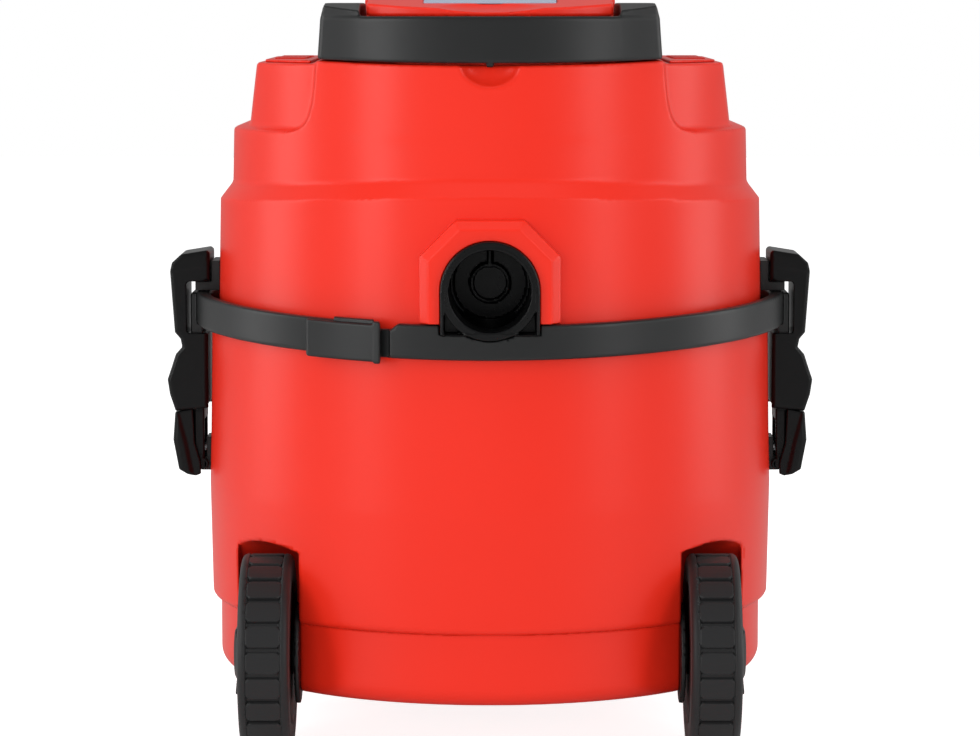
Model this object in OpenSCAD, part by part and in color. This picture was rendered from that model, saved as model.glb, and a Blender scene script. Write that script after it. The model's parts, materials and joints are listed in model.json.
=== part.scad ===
// Compact wet-and-dry shop vacuum: red drum on two treaded wheels and two castors,
// red motor head held by two side clips, black seam band and fold-down carrying bail.
// The origin is on the floor under the drum's axis. -Y is the hose side, +Z is up.

/* [Tank] */
// Outer radius of the tank at its rim
tank_rim_r = 189; // [185:0.5:193]
// How much wider the tank is at its widest than at its rim
belly_out = 1.6; // [0:0.1:3]
// How far the widest place lies below the rim
belly_drop = 109; // [80:1:130]
// Height of the tank's rim above the floor
rim_z = 274; // [272:0.5:277]
// How much narrower the tank's foot is than its rim
foot_in = 5; // [4:0.5:8]
// How far the tank steps in above its foot
step_in = 5.4; // [2:0.1:7]
// Height of the step's upper edge above the tank's bottom
step_h = 53; // [47:1:63]
// Height of the tank's bottom above the floor
base_z = 40; // [36:1:44]
// Radius of the corner round the tank's bottom
base_corner = 12; // [6:1:18]
// Wall of the tank and its wheel wells
tank_wall = 4; // [3:0.1:5]

/* [Rear wheels] */
// Outer radius of a rear wheel, also the height of its axle
wheel_r = 65; // [60:0.5:68]
// How far the rear axle lies inside the rim's radius, backwards
axle_in = 69; // [63:1:75]
// How far the tyre's inner face lies inside the rim's radius, sideways
tyre_in = 60; // [57:0.5:62]
// Width of the tyre
tyre_w = 33; // [26:0.5:36]
// Radius where the tyre sits on the hub
hub_r = 46; // [40:0.5:50]
// Radius of the rear axle stubs
axle_r = 6; // [4:0.5:8]
// Space between the tyre and the well's inner wall
well_side = 5; // [4:0.5:8]
// Space between the wheel and the arch of its well
well_gap = 8; // [5:0.5:12]
// Number of lugs round a tyre
lug_count = 24; // [16:1:32]
// Depth of the grooves between the lugs
lug_depth = 2.5; // [1:0.5:4]

/* [Castors] */
// How far a castor's stem lies inside the rim's radius
castor_in = 60.8; // [60:0.2:66]
// Angle of the castors' stems from the side
castor_angle = 48.5; // [46:0.5:52]
// Radius of a castor wheel
castor_r = 22; // [18:0.5:23]
// Width of a castor wheel
castor_w = 18; // [12:1:20]
// How far a castor wheel trails its stem
castor_trail = 16; // [10:1:18]
// Radius of the pocket that a castor turns in
pocket_r = 45; // [43:0.5:46]
// Height of the pocket's ceiling above the floor
pocket_z = 64; // [60:1:70]
// Radius of a castor's stem
stem_r = 5.5; // [4:0.5:7]

/* [Seam band] */
// How far the band's outer face stands out from the tank's rim
band_out = 10.5; // [9:0.5:12]
// Height of the band's strap
band_h = 22; // [20:0.5:24]
// How far the band's lower edge lies below the tank's rim, at the back
band_drop = 9.3; // [8:0.1:11]
// How much higher the band lies at the sides than at the back
band_rise = 8; // [4:0.5:10]
// Thickness of the band's outer wall
band_wall = 4; // [3:0.5:6]
// Angle from the back at which the buckle begins
buckle_from = 20; // [18:1:24]
// Angle of the band that the buckle covers
buckle_angle = 14; // [10:1:18]

/* [Motor head] */
// Thickness of the rubber seal on the tank's rim
seal_h = 2.5; // [2:0.5:3]
// Thickness of the head's base pan
pan_t = 3; // [2.5:0.5:3.5]
// Wall of the head's hood
hood_wall = 4; // [3:0.5:5]
// How far the hood lies inside the tank's rim
hood_in = 4.6; // [3.5:0.1:6]
// How far the hood steps in at its bevel
bevel_in = 9; // [7:0.1:11]
// Height of the bevel above the hood's foot, at the back and the front
bevel_up = 91.5; // [86.5:0.5:94.5]
// How much lower the bevel lies at the sides
bevel_drop = 9; // [5:0.5:12]
// Height of the shoulder's outer edge above the bevel
shoulder_up = 33; // [29:1:35]
// How far the raised middle lies inside the hood above its bevel
crown_in = 1.4; // [1:0.1:3]
// How much wider the raised middle is at its foot than at its top, each side
crown_lean = 11; // [8:0.5:14]
// Width of a pod's top, from the raised middle outwards
pod_w = 42.4; // [40:0.1:45]
// Height of the shelf under the handle above the shoulder
shelf_up = 44; // [40:1:46]
// How far the side pods' ends lie inside the hood above its bevel
pod_in = 8.4; // [5:0.2:11]
// How much the pods' outer sides lean in towards their top
pod_lean = 6; // [4:0.5:9]
// How far the pods' outer sides are cut in from their ends' radius
pod_flat = 7; // [4:0.5:10]
// Height of the pods' tops above the shelf
pod_up = 2; // [1:0.5:6]
// Height of the body under the lid above the shelf
top_up = 33; // [28:1:36]

/* [Lid] */
// How far the lid's sides lie inside the body's
lid_side = 3; // [2:0.5:8]
// Space between the lid's rear edge and the handle's grip
lid_clear = 4.5; // [1.5:0.5:7]
// Height of the lid's highest place above the body
lid_up = 19; // [15:1:23]
// Wall of the lid
lid_wall = 3; // [2:0.5:4]
// Distance of the lid's hinge in front of the drum's axis
lid_hinge_y = 44; // [40:1:48]
// Depth of the accessory tray under the lid
tray_depth = 30; // [20:1:32]

/* [Carrying handle] */
// How far the handle's grip stands out from the raised middle
grip_out = 0.5; // [0:0.1:2]
// Thickness of the grip
grip_t = 12; // [9:0.5:12.5]
// Height of the grip
grip_h = 30; // [24:0.5:32]
// Width of an arm
arm_w = 28; // [20:0.5:28]
// Distance of the pivots in front of the drum's axis
pivot_y = 20; // [14:1:24]
// Radius of the pivot pins
pivot_r = 5; // [4:0.5:6]

/* [Hose inlet] */
// Height of the inlet's axis above the hood's foot
inlet_up = 28.9; // [26.5:0.1:32.5]
// Radius of the inlet's bore, which takes the hose cuff
inlet_bore = 25.9; // [24:0.1:27]
// Wall of the ring round the mouth
ring_wall = 5.5; // [4.5:0.1:7]
// Depth of the inlet from its mouth to its rear wall
inlet_depth = 81; // [76:1:84]
// How much wider the cowl is than the ring, each side
cowl_side = 12.1; // [10:0.1:16]
// Half the width of the cowl's top edge
cowl_top_x = 20.8; // [17:0.1:24]
// Height of the cowl's top edge above the inlet's axis
cowl_up = 44.1; // [41:0.1:48]
// How far the cowl's front lies behind the band's face
cowl_back = 4; // [3:0.5:6]

/* [Side clips] */
// Half the width of a clip along the tank
clip_w = 23; // [21:0.5:26]
// How far the claw's hinge lies outside the tank's widest place
claw_out = 5; // [4.8:0.1:6]
// How far the claw's hinge lies below the tank's rim
claw_drop = 97.5; // [96:0.5:100]
// How far the lever's hinge lies outside the tank's widest place
lever_out = 19.9; // [19.5:0.1:20.5]
// Height of the lever's hinge above the claw's
lever_up = 32.5; // [31.5:0.1:33]
// Height of the claw's lower edge above the lever's hinge, next to the tank
claw_up = 9; // [8.5:0.1:10]
// Radius of a claw's hinge pin
clip_pin_r = 2.5; // [2:0.1:3]
// Radius of a lever's hinge pin
lever_pin_r = 1.5; // [1:0.1:1.8]

/* [Motor and fan] */
// Radius of the fan's housing
fan_case_r = 70; // [64:1:74]
// Height of the fan's housing
fan_case_h = 40; // [34:1:46]
// Radius of the motor's casing
motor_r = 46; // [40:1:50]
// Height of the motor's casing
motor_h = 74; // [60:1:80]
// Radius of the motor's shaft
shaft_r = 5; // [4:0.5:6]
// Radius of the suction eye
eye_r = 22; // [18:0.5:23]

/* [Filter and float] */
// Outer radius of the filter cartridge
filter_r = 62; // [55:1:68]
// Radius of the filter's open middle
filter_core_r = 42; // [40:0.5:45]
// Length of the filter cartridge below the pan
filter_len = 126; // [110:1:134]
// Number of pleats round the filter
pleat_count = 40; // [24:1:60]
// Radius of the float ball
float_r = 24; // [23.5:0.1:26]
// How far the float rises
float_rise = 26; // [20:1:26]

/* [Switch and cable] */
// Radius of the switch knob
knob_r = 19; // [15:0.5:22]
// Height of the switch knob's axis above the shoulder
knob_up = 20; // [16:1:22]
// Radius of the cable gland's bore
gland_bore = 4; // [3:0.1:5]
// Distance of the cable gland from the middle, sideways
gland_x = 70; // [60:1:80]
// Height of the cable gland above the hood's foot
gland_up = 45.5; // [40:0.5:55]

/* [Clearances] */
// Radial clearance of a pin or shaft in its bore
fit = 0.05; // [0.02:0.01:0.1]
// Gap between parts that lie against each other but come apart
gap = 0.3; // [0.2:0.05:0.5]

/* [Hidden] */
$fn = 96;

far = 260;                                   // reaches past the whole vacuum
tank_belly_r = tank_rim_r + belly_out;
belly_z = rim_z - belly_drop;
foot_r = tank_rim_r - foot_in;
step_z = base_z + step_h;

axle_y = axle_in - tank_rim_r;
tyre_x = tank_rim_r - tyre_in;
well_x = tyre_x - well_side;
axle_z = wheel_r;
well_r = wheel_r + well_gap;
boss_len = 26;                               // axle boss inside the tank
boss_r = axle_r + 6;
tyre_out_x = tyre_x + tyre_w;
well_out_x = tyre_out_x + 4;                 // the tank's skin closes the well beyond this
hub_in_x = well_x + gap;
hub_out_x = tyre_out_x + 1;
cap_t = 4;                                   // thickness of a hub cap
cap_r = 21;
axle_end_x = hub_out_x + 1;

castor_x = (tank_rim_r - castor_in) * cos(castor_angle);
castor_y = (tank_rim_r - castor_in) * sin(castor_angle);
fork_t = 3;                                  // thickness of a castor fork's cheeks
fork_z = 2 * castor_r + 3;                   // underside of the fork's plate
fork_plate = 4;
castor_axle_r = 3;
socket_h = 24;                               // castor's socket, above its pocket
socket_top = pocket_z + socket_h;

seal_w = 5;
band_r = tank_rim_r + band_out;
band_z = rim_z - band_drop;
pan_z = rim_z + seal_h;
hood_z = pan_z + pan_t;                      // the hood stands on the pan
pan_r = tank_rim_r - 1;
hood_r = tank_rim_r - hood_in;
skirt_r = hood_r - bevel_in;
bevel_z = hood_z + bevel_up;
shoulder_z = bevel_z + shoulder_up;
crown_r = skirt_r - crown_in;
shelf_z = shoulder_z + shelf_up;
pod_r = skirt_r - pod_in;
pod_foot_x = pod_r - pod_flat;
pod_x = pod_foot_x - pod_lean;
crown_top_x = pod_x - pod_w;                 // half the width of the raised middle at its top
crown_x = crown_top_x + crown_lean;
pod_z = shelf_z + pod_up;
top_z = shelf_z + top_up;
spigot_h = 16;                               // the pan's collar inside the rim
screw_at = hood_r - hood_wall - 6;           // circle of the hood's screws
skirt_top_r = skirt_r - 2;
shoulder_in_r = skirt_top_r - 12;
shoulder_in_z = shoulder_z + 5.5;
band_arc = (band_r * band_r + band_rise * band_rise) / (2 * band_rise);
window_in = 12;                              // exhaust window, in from the pod's sides
window_half = 60;                            // half the window's length
bevel_arc = (hood_r * hood_r + bevel_drop * bevel_drop) / (2 * bevel_drop);
// Height of the band's upper edge at a place across the back
function band_top(x) = band_z + band_h + x * x / (2 * band_arc);

grip_r = crown_r + grip_out;
pivot_z = shelf_z + 2.5 + grip_h / 2;        // the grip lies clear of its shelf
grip_z = pivot_z - grip_h / 2;
recess_r = 22;                               // finger recess under the grip
recess_z = grip_z + 7;
arm_out_x = crown_top_x - 0.6;
arm_in_x = arm_out_x - arm_w;
body_x = arm_in_x - 1;                       // body between the handle's arms
body_front_y = pivot_y + grip_h / 2 + 3;     // where the body widens, ahead of the arms
lid_x = body_x - lid_side;
lid_r = grip_r - grip_t - lid_clear;
lid_z = top_z + gap;
lid_top_z = top_z + lid_up;
lid_hinge_z = top_z + 7;
lid_barrel_r = 5;
lid_pin_r = 2.5;
tray_z = top_z - tray_depth;
lid_crest = lid_r - 90;                      // the lid is highest from here forwards
label_x = 42.5;
label_back_y = 23 - lid_r;
label_front_y = label_back_y + 52;

inlet_z = hood_z + inlet_up;
inlet_ring_r = inlet_bore + ring_wall;
cowl_x = inlet_ring_r + cowl_side;
cowl_z = inlet_z + cowl_up;
inlet_y = -band_r;                           // the mouth is flush with the band
inlet_end_y = inlet_y + inlet_depth;
inlet_tube_r = inlet_bore + 2;
duct_y = inlet_end_y - inlet_bore + 1;       // axis of the duct that turns down
duct_r = inlet_bore - 3;
duct_drop = 24;                              // how far the duct reaches below the pan
duct_low_z = pan_z - duct_drop;
cowl_y = inlet_y + cowl_back;

motor_seal_h = 4;
fan_z = hood_z + motor_seal_h;
motor_z = fan_z + fan_case_h;
motor_top_z = motor_z + motor_h;
clamp_t = 4;
leg_r = 5;
leg_w = 12;
coil_in = 12;                                // wall between the motor's outside and its coils
motor_end = 8;                               // thickness of the motor's end plates
vent_w = 10;                                 // width of the motor's vents
clamp_eye = 16;                              // radius of the hole in the clamp
leg_at = fan_case_r + leg_r + 4;

cage_r = 36;
cage_wall = 3;
float_z = pan_z - float_rise - sqrt(float_r * float_r - eye_r * eye_r) - 0.5;
cage_floor_z = float_z - float_r - gap - cage_wall;
filter_z = pan_z - filter_len;
stud_r = 4;
retainer_t = 5;                              // plate that closes the filter
nut_r = 14;
nut_h = 20;
wing_t = 6;

knob_z = shoulder_z + knob_up;
knob_y = crown_r + 1;
knob_shaft_r = 4;
switch_y = crown_r - hood_wall - 4;          // face that the switch module sits against
switch_half = 15;
switch_deep = 20;
gland_y = sqrt(hood_r * hood_r - gland_x * gland_x);
gland_z = hood_z + gland_up;
gland_r = 9;
flange_r = 13;
flange_y = gland_y + 3;                      // face that the gland's flange seats on

catch_z = band_z + band_rise + band_h + 0.6; // underside of a catch, above the band
catch_ledge_z = catch_z + 5.8;
claw_nose_z = catch_ledge_z + gap;
claw_pivot_z = rim_z - claw_drop;
lever_pivot_z = claw_pivot_z + lever_up;
claw_low_z = lever_pivot_z + claw_up;
claw_pivot_x = tank_belly_r + claw_out;
lever_pivot_x = tank_belly_r + lever_out;
ear_y = 12;                                  // outer face of a bracket's ears
leg_y = 13;                                  // inner face of a claw's legs
leg_t = 4;
leg_half = 4;
plate_x = tank_belly_r + 2.5;                // outer face of a bracket's plate
edge_drop = 4.7;                             // the claw's lower edge falls outwards
knuckle_y = 9;                               // half the width of the lever's knuckle
knuckle_r = 3.4;
lever_skin = 4;                              // wall of the lever's grip and cheeks
hood_taper = 1.7;                            // how much the hood narrows up to its bevel

red = [0.93, 0.22, 0.18];
black = [0.16, 0.16, 0.17];
dark = [0.09, 0.09, 0.1];
steel = [0.72, 0.73, 0.75];
alloy = [0.62, 0.64, 0.66];
paper = [0.86, 0.84, 0.78];

// ---------- shared shapes ----------

// Tube between two radii and two heights
module ring(r_in, r_out, z0, z1) {
  rotate_extrude() translate([r_in, z0]) square([r_out - r_in, z1 - z0]);
}

// Cylinder along X between two places, round (y, z)
module rod_x(x0, x1, y, z, r) {
  translate([min(x0, x1), y, z]) rotate([0, 90, 0]) cylinder(r = r, h = abs(x1 - x0));
}

// Cylinder along Y between two places, round (x, z)
module rod_y(y0, y1, x, z, r) {
  translate([x, max(y0, y1), z]) rotate([90, 0, 0]) cylinder(r = r, h = abs(y1 - y0));
}

// Outline in X and Z pushed out along Y to half the width each way
module slab_y(half) {
  translate([0, half, 0]) rotate([90, 0, 0]) linear_extrude(2 * half) children();
}

// Box between two corners
module block(low, high) {
  translate(low) cube(high - low);
}

// The left copy is as drawn, at -X; the right one is its mirror image
module side(s) {
  mirror([s == "right" ? 1 : 0, 0, 0]) children();
}

// ---------- tank ----------

// Filled outline of the tank, drawn in by w
module tank_outline(w = 0) {
  mid_r = foot_r - base_corner;
  polygon(concat([
    [0, base_z + w], [mid_r, base_z + w], [mid_r, base_z + base_corner],
    [foot_r - w, base_z + base_corner], [foot_r - w, step_z - step_in],
    [foot_r + step_in - w, step_z], [tank_belly_r - w, belly_z], [tank_rim_r - w, rim_z]
  ], w > 0 ? [[tank_rim_r - w, rim_z + 1], [0, rim_z + 1]] : [[0, rim_z]]));
  translate([mid_r, base_z + base_corner]) circle(base_corner - w);
}

module tank_solid(w = 0) {
  rotate_extrude() intersection() {
    tank_outline(w);
    square([far, far * 2]);
  }
}

// Space of one wheel well, grown by w: a slot, open below and to the back
module well(w = 0) {
  r = well_r + w;
  out_x = well_out_x + w;
  rod_x(-out_x, -well_x + w, axle_y, axle_z, r);
  block([-out_x, axle_y - r, -1], [-well_x + w, axle_y + r, axle_z]);
}

module castor_pocket(w = 0) {
  translate([-castor_x, castor_y, -1]) cylinder(r = pocket_r + w, h = pocket_z + w + 1);
}

module tank() {
  color(red) difference() {
    union() {
      difference() {
        tank_solid();
        tank_solid(tank_wall);
      }
      intersection() {
        tank_solid();
        for (s = ["left", "right"]) side(s) {
          well(tank_wall);
          castor_pocket(tank_wall);
        }
      }
      for (s = ["left", "right"]) side(s) {
        rod_x(-well_x, -well_x + boss_len + tank_wall, axle_y, axle_z, boss_r);
        translate([-castor_x, castor_y, pocket_z]) cylinder(r = stem_r + 6, h = socket_top - pocket_z);
      }
    }
    for (s = ["left", "right"]) side(s) {
      well();
      castor_pocket();
      rod_x(-well_x - 1, -well_x + boss_len, axle_y, axle_z, axle_r + fit);
      translate([-castor_x, castor_y, pocket_z - 1])
        cylinder(r = stem_r + fit, h = socket_top - pocket_z - 3);
    }
  }
}

module tank_seal() {
  color(dark) ring(tank_rim_r - seal_w, tank_rim_r, rim_z, pan_z);
}

// ---------- seam band ----------

// Region between the band's lower and upper edges, shrunk by w at both, rising to the sides
module band_region(w = 0) {
  slab_y(far) intersection() {
    difference() {
      translate([0, band_z + w + band_arc]) circle(band_arc, $fn = 360);
      translate([0, band_z + band_h - w + band_arc]) circle(band_arc, $fn = 360);
    }
    translate([-far, band_z - far / 2]) square([2 * far, far]);
  }
}

module seam_band() {
  color(black) difference() {
    intersection() {
      ring(tank_rim_r + gap + 0.3, band_r, band_z - 10, band_z + band_h + band_rise + 10);
      band_region();
    }
    intersection() {
      ring(tank_rim_r, band_r - band_wall, band_z - 10, band_z + band_h + band_rise + 10);
      band_region(band_wall);
    }
    // seat of the hose inlet's foot
    block([-inlet_ring_r - gap, -far, inlet_z - inlet_ring_r - gap],
          [inlet_ring_r + gap, 0, far * 2]);
  }
}

// Clip-shaped buckle round the band, tilted with it
module band_buckle() {
  middle = buckle_from + buckle_angle / 2;
  at_x = -band_r * sin(middle);
  high = band_top(at_x) + gap + 1;
  low = band_top(at_x) - band_h - gap - 1.8;
  color(black) translate([at_x, 0, high]) rotate([0, asin(-at_x / band_arc), 0]) translate([-at_x, 0, -high])
    rotate([0, 0, -90 - buckle_from - buckle_angle]) rotate_extrude(angle = buckle_angle) {
      translate([band_r + gap, low]) square([3, high - low]);
      translate([band_r - 3, high - 1]) square([3 + gap, 1]);
      translate([band_r - 3, low]) square([3 + gap, 1.8]);
    }
}

// ---------- rear wheels ----------

module rear_axle(s) {
  color(steel) side(s) {
    rod_x(-well_x + boss_len - 1, -axle_end_x, axle_y, axle_z, axle_r);
  }
}

module wheel_tyre(s) {
  color(dark) side(s) difference() {
    translate([-tyre_out_x, axle_y, axle_z]) rotate([0, 90, 0]) rotate_extrude() {
      polygon([
        [hub_r + fit, 0], [wheel_r - 5, 0], [wheel_r, 5], [wheel_r, tyre_w - 5],
        [wheel_r - 5, tyre_w], [hub_r + fit, tyre_w]
      ]);
    }
    for (i = [0 : lug_count - 1])
      translate([-tyre_x, axle_y, axle_z]) rotate([(i + 0.5) * 360 / lug_count, 0, 0])
        block([-tyre_w - 1, -1.5, wheel_r - lug_depth], [1, 1.5, wheel_r + 2]);
  }
}

// Dished hub: rim, web with windows, boss and inner flange
module wheel_hub(s) {
  web = 5;
  windows = 6;
  color(black) side(s) translate([-hub_out_x, axle_y, axle_z]) rotate([0, 90, 0]) difference() {
    union() {
      ring(hub_r - 5, hub_r, 1, 1 + tyre_w);
      ring(axle_r + 2, hub_r - 4, 12, 12 + web);
      ring(axle_r + fit, axle_r + 8, 1, hub_out_x - hub_in_x);
      ring(axle_r + 2, 33, hub_out_x - tyre_x - 2, hub_out_x - hub_in_x);
      for (i = [0 : windows - 1]) rotate([0, 0, i * 360 / windows])
        block([axle_r + 7, -2, 4], [hub_r - 4, 2, 13]);
    }
    for (i = [0 : windows - 1]) rotate([0, 0, (i + 0.5) * 360 / windows])
      translate([(hub_r + axle_r) / 2 + 1, 0, 10]) cylinder(r = 7, h = web + 4);
  }
}

module hub_cap(s) {
  color(black) side(s) difference() {
    translate([-hub_out_x - cap_t, axle_y, axle_z]) rotate([0, 90, 0]) rotate_extrude() {
      polygon([[0, 0], [cap_r - 6, 0], [cap_r, cap_t - 1], [cap_r, cap_t + 0.6], [0, cap_t + 0.6]]);
    }
    rod_x(-axle_end_x - gap, -hub_out_x + 2, axle_y, axle_z, axle_r + fit);
  }
}

// ---------- castors ----------

module castor_fork(s) {
  cheek_x = castor_w / 2 + 0.6;
  color(black) side(s) translate([-castor_x, castor_y, 0]) difference() {
    union() {
      translate([0, 0, fork_z]) cylinder(r = 19, h = fork_plate);
      translate([0, 0, fork_z]) cylinder(r = 9, h = pocket_z - gap - fork_z);
      translate([0, 0, fork_z]) cylinder(r = stem_r, h = socket_top - 5 - fork_z);
      for (m = [-1, 1]) {
        x0 = m > 0 ? cheek_x : -cheek_x - fork_t;
        rod_x(x0, x0 + fork_t, -castor_trail, castor_r, 8);
        intersection() {
          block([x0, -castor_trail - 8, castor_r], [x0 + fork_t, 8, fork_z + 1]);
          translate([0, 0, castor_r]) cylinder(r = pocket_r - 8, h = far);
        }
      }
    }
    rod_x(-far, far, -castor_trail, castor_r, castor_axle_r + fit);
  }
}

module castor_wheel(s) {
  color(dark) side(s) translate([-castor_x - castor_w / 2, castor_y - castor_trail, castor_r])
    rotate([0, 90, 0]) rotate_extrude() polygon([
      [castor_axle_r + fit, 0], [castor_r - 2, 0], [castor_r, 2], [castor_r, castor_w - 2],
      [castor_r - 2, castor_w], [castor_axle_r + fit, castor_w]
    ]);
}

module castor_axle(s) {
  half = castor_w / 2 + 0.6 + fork_t;
  color(steel) side(s) {
    rod_x(-castor_x - half, -castor_x + half, castor_y - castor_trail, castor_r, castor_axle_r);
    for (m = [-1, 1])
      rod_x(-castor_x + m * half, -castor_x + m * (half + 1.5), castor_y - castor_trail, castor_r, 5);
  }
}

// ---------- motor head ----------

// Centre line of the duct through the pan
module duct(r, z0, z1) {
  translate([0, duct_y, z0]) cylinder(r = r, h = z1 - z0);
}

module base_pan() {
  color(black) difference() {
    union() {
      ring(0, pan_r, pan_z, hood_z);
      ring(tank_rim_r - tank_wall - 5.5, tank_rim_r - tank_wall - 3, pan_z - spigot_h, pan_z);
    }
    ring(0, eye_r, pan_z - 1, hood_z + 1);
    duct(duct_r + 2.5 + gap, pan_z - 1, hood_z + 1);
    for (a = [45 : 90 : 315]) rotate([0, 0, a])
      translate([screw_at, 0, pan_z - 1]) cylinder(r = 2.2, h = pan_t + 2);
  }
}

// Lower drum of the hood, up to the arched bevel, drawn in by w
module hood_drum(w = 0) {
  intersection() {
    rotate_extrude() polygon([
      [0, hood_z - 1], [hood_r - w, hood_z - 1], [hood_r - w, hood_z],
      [hood_r - hood_taper - w, bevel_z], [0, bevel_z]
    ]);
    slab_y(far) intersection() {
      translate([0, bevel_z - w - bevel_arc]) circle(bevel_arc, $fn = 360);
      translate([-far, 0]) square([2 * far, 2 * far]);
    }
  }
}

// Skirt and shoulder above the bevel, drawn in by w
module hood_skirt(w = 0) {
  rotate_extrude() polygon([
    [0, hood_z - 1], [skirt_r - w, hood_z - 1], [skirt_r - w, bevel_z - bevel_drop],
    [skirt_top_r - w, shoulder_z - 4 - w], [skirt_top_r - 2 - w, shoulder_z - w],
    [shoulder_in_r - w, shoulder_in_z - w], [0, shoulder_in_z - w]
  ]);
}

// Raised middle, flush with the skirt at the back and the front
module hood_crown(w = 0) {
  intersection() {
    cylinder(r = crown_r - w, h = 2 * far);
    slab_y(far) polygon([
      [-crown_x + w, hood_z], [-crown_x + w, shoulder_in_z - w], [-crown_top_x + w, shelf_z - w],
      [crown_top_x - w, shelf_z - w], [crown_x - w, shoulder_in_z - w], [crown_x - w, hood_z]
    ]);
  }
}

// Side pods, drawn in by w
module hood_pods(w = 0) {
  intersection() {
    cylinder(r = pod_r - w, h = 2 * far);
    slab_y(far) for (m = [-1, 1]) polygon([
      [m * (pod_foot_x - w), shoulder_z - 8], [m * (pod_x - w), pod_z - w],
      [m * (crown_top_x + w), pod_z - w], [m * (crown_top_x + w), shoulder_z - 8]
    ]);
  }
}

// Body that carries the lid, between and ahead of the handle's arms
module hood_top(w = 0) {
  intersection() {
    cylinder(r = lid_r - w, h = top_z - w);
    union() {
      if (w == 0) block([-body_x, -far, shelf_z - 6], [body_x, far, top_z]);
      block([-crown_top_x + w, body_front_y + w, shelf_z - 12], [crown_top_x - w, far, top_z]);
    }
  }
}

// Octagonal cowl round the hose inlet
module inlet_cowl() {
  slope = cowl_x - cowl_top_x;
  foot_z = band_top(cowl_x) + gap;
  inside = 20;
  difference() {
    translate([0, inside - hood_r, 0]) rotate([90, 0, 0]) linear_extrude(inside - hood_r - cowl_y)
      polygon([
        [-cowl_x, foot_z], [-cowl_x, cowl_z - slope], [-cowl_top_x, cowl_z],
        [cowl_top_x, cowl_z], [cowl_x, cowl_z - slope], [cowl_x, foot_z]
      ]);
    cylinder(r = hood_r - hood_wall, h = 2 * far);
  }
}

module motor_hood() {
  color(red) difference() {
    union() {
      difference() {
        union() {
          ring(0, pan_r, hood_z, hood_z + 4);
          hood_drum();
          hood_skirt();
          hood_crown();
          hood_pods();
          hood_top();
          rod_y(crown_r - 12, crown_r + 0.5, 0, knob_z, knob_r + 4);
          rod_y(gland_y - 14, flange_y, -gland_x, gland_z, flange_r + 1);
        }
        hood_drum(hood_wall);
        hood_skirt(hood_wall);
        hood_crown(hood_wall);
        hood_pods(hood_wall);
        hood_top(hood_wall);
      }
      inlet_cowl();
      rod_y(switch_y, crown_r - 1, 0, knob_z, knob_r);
      // walls of the finger recess
      intersection() {
        rod_y(3 - crown_r, 18 - crown_r, 0, recess_z, recess_r + hood_wall);
        block([-far, -far, 0], [far, 0, shelf_z - 1]);
      }
      for (a = [45 : 90 : 315]) rotate([0, 0, a])
        translate([screw_at, 0, hood_z]) cylinder(r = 6.5, h = 30);
      // ears of the lid's hinge
      for (s = ["left", "right"]) side(s) {
        rod_x(-lid_x - 0.5, -lid_x - 7, lid_hinge_y, lid_hinge_z, lid_barrel_r + 1);
        block([-lid_x - 7, lid_hinge_y - lid_barrel_r - 1, top_z - 6],
              [-lid_x - 0.5, lid_hinge_y + lid_barrel_r + 1, lid_hinge_z]);
      }
    }
    ring(0, far, 0, hood_z);
    // accessory tray
    intersection() {
      cylinder(r = lid_r - 8, h = far * 2);
      block([-body_x + 8, -far, tray_z], [body_x - 8, pivot_y - pivot_r - 8, far * 2]);
    }
    // finger recess under the grip
    rod_y(-crown_r - 5, 14 - crown_r, 0, recess_z, recess_r);
    // hose inlet
    rod_y(-far, -hood_r + 30, 0, inlet_z, inlet_tube_r + gap);
    block([-inlet_ring_r - gap, -far, hood_z - 1], [inlet_ring_r + gap, cowl_y + 3 + gap, inlet_z]);
    rod_y(-far, cowl_y + 3 + gap, 0, inlet_z, inlet_ring_r + gap);
    // pins, screws, switch and gland
    for (s = ["left", "right"]) side(s) {
      rod_x(-body_x - 1, -body_x + 22, pivot_y, pivot_z, pivot_r + fit);
      rod_x(-lid_x - 8, -lid_x + 1, lid_hinge_y, lid_hinge_z, lid_pin_r + fit);
      // exhaust window under a pod's cover
      block([-pod_x + window_in, -window_half, pod_z - hood_wall - 1], [-crown_top_x - window_in + 3, window_half, pod_z + 1]);
    }
    for (a = [45 : 90 : 315]) rotate([0, 0, a])
      translate([screw_at, 0, hood_z - 1]) cylinder(r = 1.8, h = 24);
    rod_y(crown_r - 40, crown_r + 2, 0, knob_z, knob_shaft_r + 0.4);
    rod_y(gland_y - 30, flange_y + 1, -gland_x, gland_z, gland_r + fit);
    rod_y(flange_y, far, -gland_x, gland_z, flange_r + gap);
  }
}

// Slotted cover of the exhaust window in a pod's top
module exhaust_cover(s) {
  t = 3;
  slots = 9;
  pitch = 12;
  slot_w = 6;
  from_y = -slots * pitch / 2 + 2;
  color(red) side(s) difference() {
    intersection() {
      ring(0, pod_r - 5, pod_z, pod_z + t);
      block([-pod_x + 5, -far, pod_z], [-crown_top_x - 4, far, pod_z + t]);
    }
    for (i = [0 : slots - 1])
      block([-pod_x + window_in + 2, from_y + i * pitch, pod_z - 1],
            [-crown_top_x - window_in + 1, from_y + i * pitch + slot_w, pod_z + t + 1]);
  }
}

module exhaust_foam() {
  color(dark) for (s = ["left", "right"]) side(s)
    block([-pod_x + window_in + gap, -window_half + gap, pod_z - hood_wall],
          [-crown_top_x - window_in + 3 - gap, window_half - gap, pod_z]);
}

module hood_screws() {
  color(steel) for (a = [45 : 90 : 315]) rotate([0, 0, a]) translate([screw_at, 0, 0]) {
    translate([0, 0, pan_z - 2.4]) cylinder(r = 3.6, h = 2.4);
    translate([0, 0, pan_z - 1]) cylinder(r = 1.75, h = 20);
  }
}

// ---------- lid ----------

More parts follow.
